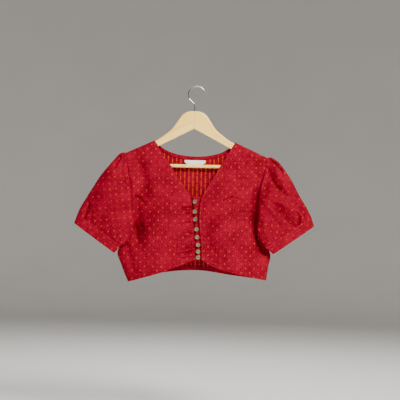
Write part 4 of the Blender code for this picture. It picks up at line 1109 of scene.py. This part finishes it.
def spun(profile, steps):
    """A closed bmesh turned from a profile of radius and height about Z."""
    mesh = bmesh.new()
    points = [mesh.verts.new((radius * MM, 0, height * MM)) for radius, height in profile]
    edges = [mesh.edges.new(pair) for pair in zip(points, points[1:])]
    bmesh.ops.spin(
        mesh,
        geom=points + edges,
        axis=(0, 0, 1),
        cent=(0, 0, 0),
        steps=steps,
        angle=2 * math.pi,
        use_merge=True,
    )
    bmesh.ops.remove_doubles(mesh, verts=mesh.verts, dist=0.000001)
    bmesh.ops.recalc_face_normals(mesh, faces=mesh.faces)
    return mesh


def worked_out(made):
    """The mesh of an object, its curve or modifiers worked out; the object itself goes."""
    bpy.context.view_layer.update()
    graph = bpy.context.evaluated_depsgraph_get()
    data = bpy.data.meshes.new_from_object(made.evaluated_get(graph))
    bpy.data.objects.remove(made)
    return data


button = bpy.data.meshes.new("button_blank")
blank = spun(BUTTON_PROFILE, 32)
blank.to_mesh(button)
blank.free()
drills = bmesh.new()
for hole_side in (-1, 1):
    bmesh.ops.create_cone(
        drills,
        cap_ends=True,
        segments=14,
        radius1=HOLE_RADIUS * MM,
        radius2=HOLE_RADIUS * MM,
        depth=8 * MM,
        matrix=Matrix.Translation((0, hole_side * HOLE_APART / 2 * MM, 4 * MM)),
    )
drill_data = bpy.data.meshes.new("button_drills")
drills.to_mesh(drill_data)
drills.free()
blank = placed("button_blank", button)
cutter = placed("button_drills", drill_data)
blank.modifiers.new("holes", "BOOLEAN").object = cutter
button = worked_out(blank)
bpy.data.objects.remove(cutter)

for number, place in enumerate(BUTTONS, 1):
    spot = Vector((place.x, stand_depth(place.z) - SEAM, place.z)) * MM
    lie = Matrix.Translation(spot) @ Matrix.Rotation(math.radians(90), 4, "X")
    lie = lie @ Matrix.Rotation(math.radians(place.lean * 3 + 37 * number), 4, "Z")
    mesh = bmesh.new()
    mesh.from_mesh(button)
    mesh.transform(lie)
    disc = solid_from(f"coconut_button_{number}", mesh, shell_tan)
    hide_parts(f"button_{number}")
    # The thread: three strands over the bridge between the holes, and the shank wound below.
    mesh = bmesh.new()
    strands = [((x, 0, face - 0.85), (0.22, 1.55, 0.5), 8, 8) for x in (-0.36, 0.0, 0.36)]
    coils = [((0, 0, 0.35 + 0.5 * turn), (1.15, 1.15, 0.34), 14, 6) for turn in range(5)]
    for middle, radii, around, down in strands + coils:
        bead = Matrix.Translation(Vector(middle) * MM) @ Matrix.Diagonal((*radii, 1))
        bmesh.ops.create_uvsphere(
            mesh, u_segments=around, v_segments=down, radius=MM, matrix=bead
        )
    mesh.transform(lie)
    solid_from(f"button_thread_{number}", mesh, thread_red)


# ---- The loops ----
# Rouleau loops of the same cotton on the bias, caught in the right front's edge, each round the
# shank of its button.

LOOP_RADIUS = 0.95
LOOP_ROOT = 3.6
LOOP_TURN = 3.1
LOOP_CAUGHT, LOOP_SINK = 2.5, 0.2  # how far its ends lie inside the edge, and above its round


def rounded_bar(name, path, radius, sides, finish):
    """A round bar along a smooth path, with filled ends, as a mesh."""
    curve = bpy.data.curves.new(name, "CURVE")
    curve.dimensions = "3D"
    curve.bevel_depth = radius * MM
    curve.bevel_resolution = sides
    curve.resolution_u = 5
    curve.use_fill_caps = True
    spline = curve.splines.new("BEZIER")
    spline.bezier_points.add(len(path) - 1)
    for point, place in zip(spline.bezier_points, path):
        point.co = Vector(place) * MM
        point.handle_left_type = point.handle_right_type = "AUTO"
    mesh = bmesh.new()
    mesh.from_mesh(worked_out(placed(name, curve)))
    bmesh.ops.remove_doubles(mesh, verts=mesh.verts, dist=0.000002)
    bmesh.ops.recalc_face_normals(mesh, faces=mesh.faces)
    weave = mesh.loops.layers.uv.get("UVMap") or mesh.loops.layers.uv.new("UVMap")
    for bar_face in mesh.faces:
        for loop in bar_face.loops:
            loop[weave].uv = (loop.vert.co.x + loop.vert.co.y, loop.vert.co.z - loop.vert.co.y)
    return solid_from(name, mesh, finish)


for number, place in enumerate(BUTTONS, 1):
    root_x = float(edge_at(CENTRE_RIGHT, place.z)[0]) - LOOP_CAUGHT
    depth = float(stand_depth(place.z)) - SEAM - LOOP_RADIUS
    turns = [math.pi * (0.5 - step / 8) for step in range(9)]
    path = [
        (place.x + LOOP_TURN * math.cos(a), depth, place.z + LOOP_TURN * math.sin(a))
        for a in turns
    ]
    ends = [(root_x, depth - LOOP_SINK, place.z + up * LOOP_ROOT) for up in (1, -1)]
    path = [ends[0], *path, ends[1]]
    rouleau = rounded_bar(f"rouleau_loop_{number}", path, LOOP_RADIUS, 3, cotton)
    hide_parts(f"loop_{number}")


# ---- The stitching ----
# Machine stitches in red thread, 2.6 mm apart: round the hem, beside the neck and the buttoned
# edge, and along the cuffs. They lie in a small dip that runs along each stitch line.

STITCH_APART = 2.6
STITCH_LONG = 1.9
STITCH_WIDE, STITCH_HIGH, STITCH_LIFT = 0.52, 0.44, 0.02
AHEAD = 0.8  # how far ahead a stitch points along its line
STEP = 0.001  # share of a piece over which its slope is measured
AT_HEM = 0.9999  # share down a panel that is taken as its hem
NEAR_HEM = 0.04  # share of a panel's height over which its hem is followed


def along_run(place, run, rows):
    """The row at a length along a run of them."""
    return Vector([np.interp(place, run, column) for column in rows.T])


def stitch_row(mesh, points, normals):
    """Small rounded stitches, one after the other, along a line of points on the cloth."""
    steps = np.linalg.norm(np.diff(points, axis=0), axis=1)
    run = np.concatenate([[0], np.cumsum(steps)])
    for place in np.arange(STITCH_APART / 2, run[-1] - STITCH_APART / 2, STITCH_APART):
        spot = along_run(place, run, points)
        along = (along_run(place + AHEAD, run, points) - spot).normalized()
        aside = along_run(place, run, normals).normalized().cross(along).normalized()
        up = along.cross(aside)
        turn = Matrix((along, aside, up)).transposed().to_4x4()
        lie = Matrix.Translation((spot + up * STITCH_LIFT) * MM) @ turn
        lie = lie @ Matrix.Diagonal((STITCH_LONG / 2, STITCH_WIDE / 2, STITCH_HIGH / 2, 1))
        bmesh.ops.create_uvsphere(mesh, u_segments=6, v_segments=5, radius=MM, matrix=lie)


def outward(points_at, s, t, facing):
    """Points of a piece at s and t, and the outward normals there."""
    across = points_at(s + STEP, t) - points_at(s - STEP, t)
    down = points_at(s, t + STEP) - points_at(s, t - STEP)
    normals = np.cross(across, down)
    normals /= np.linalg.norm(normals, axis=-1)[..., None]
    if facing == "tube":
        return points_at(s, t), -normals
    return points_at(s, t), normals * np.sign(normals[..., 1:2]) * facing


def share_above(points_at, s, rise):
    """The share down a panel that lies a rise above its hem."""
    foot = points_at(s, AT_HEM + 0 * s)[..., 2]
    above = points_at(s, 1 - NEAR_HEM + 0 * s)[..., 2]
    return 1 - rise * NEAR_HEM / (above - foot)


for side, name in ((-1, "right"), (1, "left")):
    mesh = bmesh.new()

    def panel(s, t, side=side):
        return front_points(side, s, t)

    s = np.linspace(0.015, 0.985, 160)
    stitch_row(mesh, *outward(panel, s, share_above(panel, s, HEM_STITCHES), -1))
    for stretch in ((0.004, V_SHARE - 0.006, 140), (V_SHARE + 0.006, 0.994, 120)):
        t = np.linspace(*stretch)
        width = np.linalg.norm(panel(1.0, t) - panel(0.9, t), axis=-1) * 10
        stitch_row(mesh, *outward(panel, 1 - EDGE_STITCHES / width, t, -1))
    solid_from("front_stitching_" + name, mesh, thread_red)

    mesh = bmesh.new()
    turns = np.linspace(0, 1, 300)

    def band(v, s, side=side):
        return cuff_points(side, s, v)

    spots, normals = outward(band, turns, CUFF_STITCHES + 0 * turns, "tube")
    if normals[75, 1] > 0:
        normals = -normals
    stitch_row(mesh, spots, normals)
    solid_from("cuff_stitching_" + name, mesh, thread_red)

mesh = bmesh.new()
s = np.linspace(0.008, 0.992, 320)
stitch_row(mesh, *outward(back_points, s, share_above(back_points, s, HEM_STITCHES), 1))
solid_from("back_stitching", mesh, thread_red)


# ---- The clothes hanger ----
# Shaped pale wood in two halves, glued at the middle and clear varnished, with a trouser rod
# between its ends and a bright plated wire hook.

# The wood's outline, right half: distance from its middle, height, as in a pattern.
WOOD_TOP = [(0, -66.4), (14, -67.6), (26, -72.2), (35.5, -80.2), (46.8, -97.0), (57, -112.4)]
WOOD_SLOPE = [(66, -122.0), (79, -132.4), (95, -144.2), (109, -151.9), (150, -170.6)]
WOOD_SLOPE += [(172, -180.6), (180, -185.0)]
WOOD_END = [(187, -192), (190.5, -201), (190.5, -212), (186, -221), (178, -224), (171, -220)]
WOOD_UNDER = [(163, -209.5), (150, -196.5), (100, -167.0), (50, -140.6), (3, -116.5)]
WOOD_THICK = 12.0
WOOD_ROUND = 2.6

# Beech: planed, sanded and clear varnished, its grain along each arm, with short dark flecks.
varnished_wood, tree = new_material("clear_varnished_beech")
place = add(tree, "TexCoord", {})["Object"]
apart = add(tree, "SeparateXYZ", {0: place})
arm = calc(tree, "SUBTRACT", apart["X"], HANGER_X * MM)
reach = calc(tree, "ABSOLUTE", arm)
slant = calc(tree, "MULTIPLY_ADD", reach, 0.5, apart["Z"])
grain = add(tree, "CombineXYZ", {0: arm, 1: apart["Y"], 2: slant})[0]
rings = noise_of(tree, grain, 1, 4, (9, 160, 240))
fleck = ranged(tree, noise_of(tree, grain, 1, 1, (260, 900, 1500)), 0.62, 0.75, 0, 0.4)
pale = blend(tree, ranged(tree, rings, 0.35, 0.68, 0, 1), "#FFC650", "#FFE172")
wood_colour = blend(tree, fleck, pale, "#B98A54")
glue_line = ranged(tree, reach, 0.0003, 0.0007, 0.55, 0)
wood_colour = blend(tree, glue_line, wood_colour, "#9A6F3E")
varnish = {"IOR": 1.5, "Coat Weight": 0.35, "Coat Roughness": 0.18}
rough = ranged(tree, rings, 0, 1, 0.34, 0.46)
finish_surface(tree, wood_colour, rough, (rings, 0.12, 0.0003), **varnish)


def softened(points, steps):
    """A smooth run of points through a few of them."""
    keys = np.linspace(0, 1, len(points))
    table = [(key, *point) for key, point in zip(keys, points)]
    return [tuple(p) for p in smooth(table, np.linspace(0, 1, steps))]


outline = softened(WOOD_TOP + WOOD_SLOPE + WOOD_END, 64) + softened(WOOD_UNDER, 14)
outline += [(0, -114.8)] + [(-x, z) for x, z in reversed(outline[1:])]
mesh = bmesh.new()
points = [
    mesh.verts.new(((x + HANGER_X) * MM, -WOOD_THICK / 2 * MM, z * MM)) for x, z in outline
]
front_face = mesh.faces.new(points)
pushed = bmesh.ops.extrude_face_region(mesh, geom=[front_face])["geom"]
moved = [item for item in pushed if isinstance(item, bmesh.types.BMVert)]
bmesh.ops.translate(mesh, verts=moved, vec=(0, WOOD_THICK * MM, 0))
bmesh.ops.recalc_face_normals(mesh, faces=mesh.faces)
rims = [edge for edge in mesh.edges if abs(edge.verts[0].co.y - edge.verts[1].co.y) < 1e-6]
bmesh.ops.bevel(
    mesh,
    geom=rims,
    offset=WOOD_ROUND * MM,
    offset_type="OFFSET",
    affect="EDGES",
    segments=4,
    profile=0.5,
    material=-1,
    clamp_overlap=True,
)
bmesh.ops.triangulate(mesh, faces=[face for face in mesh.faces if len(face.verts) > 4])
wood = solid_from("shaped_wood", mesh, varnished_wood)
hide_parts("hanger_wood")
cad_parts["hanger_rod"].data.materials[0] = varnished_wood

# Bright plated steel wire: drawn and plated, with a clear reflection and faint draw marks.
plated_wire, tree = new_material("bright_plated_steel_wire")
place = add(tree, "TexCoord", {})["Object"]
marks = noise_of(tree, place, 420, 3)
tint = blend(tree, marks, "#8A8B90", "#B4B5BA")
rough = ranged(tree, marks, 0, 1, 0.12, 0.26)
finish_surface(tree, tint, rough, (marks, 0.08, 0.0002), Metallic=1.0)

WIRE = 3.6
HOOK_RADIUS = 24.0
HOOK_FROM, HOOK_TO = 21, 205  # degrees round its bend, from the tip to the neck
path = []
for step in range(19):
    turn = math.radians(HOOK_FROM + (HOOK_TO - HOOK_FROM) * step / 18)
    rise = WIRE / 2 - HOOK_RADIUS + HOOK_RADIUS * math.sin(turn)
    path.append((HOOK_RADIUS * math.cos(turn), 0, rise))
path += [(-17.8, 0, -36.2), (-12.0, 0, -41.8), (-8.2, 0, -46.0), (HANGER_X - 0.7, 0, -50.5)]
path += [(HANGER_X, 0, -56), (HANGER_X, 0, -70), (HANGER_X, 0, -84)]
hook = rounded_bar("wire_hook", path, WIRE / 2, 4, plated_wire)
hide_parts("hanger_hook")


# ---- The studio ----
# A plain pale floor that curves up into the backdrop, a soft key light from the upper right, a
# weak fill from the front, a soft light on the backdrop and an even pale surround. The camera
# looks straight on, a little turned.

sweep = bmesh.new()
bmesh.ops.create_grid(sweep, x_segments=60, y_segments=60, size=1)
for vertex in sweep.verts:
    far = vertex.co.xy.length
    vertex.co = Vector((vertex.co.x * 8, vertex.co.y * 8, -0.95 + 26 * max(far - 0.5, 0) ** 2))
data = bpy.data.meshes.new("studio_sweep")
sweep.to_mesh(data)
sweep.free()
data.shade_smooth()
# Studio paper: matt and pale, its tone barely uneven.
paper, tree = new_material("matt_studio_paper")
place = add(tree, "TexCoord", {})["Object"]
tooth = noise_of(tree, place, 3, 2)
finish_surface(tree, blend(tree, tooth, "#E4E3E0", "#ECEBE8"), 0.95)
data.materials.append(paper)
floor = placed("studio_sweep", data)

world = bpy.data.worlds.new("studio")
bpy.context.scene.world = world
world.use_nodes = True
surround = world.node_tree.nodes["Background"].inputs
surround["Color"].default_value = linear("#DADCE0")
surround["Strength"].default_value = 0.1

BLOUSE_MIDDLE = Vector((0.0, 0.0, -0.33))


def soft_light(name, place, size, power, colour):
    """A square soft box that faces the blouse."""
    lamp = bpy.data.lights.new(name, "AREA")
    lamp.size = size
    lamp.energy = power
    lamp.color = linear(colour)[:3]
    box = placed(name, lamp)
    box.location = place
    box.rotation_euler = (BLOUSE_MIDDLE - Vector(place)).to_track_quat("-Z", "Y").to_euler()


soft_light("key", (1.2, -2.45, 1.5), 0.9, 188, "#FFF8F0")
soft_light("fill", (-0.2, -2.6, -0.6), 0.8, 18, "#F2F5FF")
soft_light("top", (0.2, 0.6, 1.9), 1.2, 26, "#FFFFFF")
soft_light("backdrop", (0.0, 1.6, 1.2), 2.0, 40, "#FFFFFF")

CAMERA_TURN = -1.35  # degrees; the blouse hangs turned by as much in the picture
lens = bpy.data.cameras.new("camera")
lens.lens = 130.9
lens.sensor_width = 36
camera = placed("camera", lens)
camera.location = (0.015, -4, -0.310)
camera.rotation_euler = (math.radians(90), math.radians(CAMERA_TURN), 0)
bpy.context.scene.camera = camera
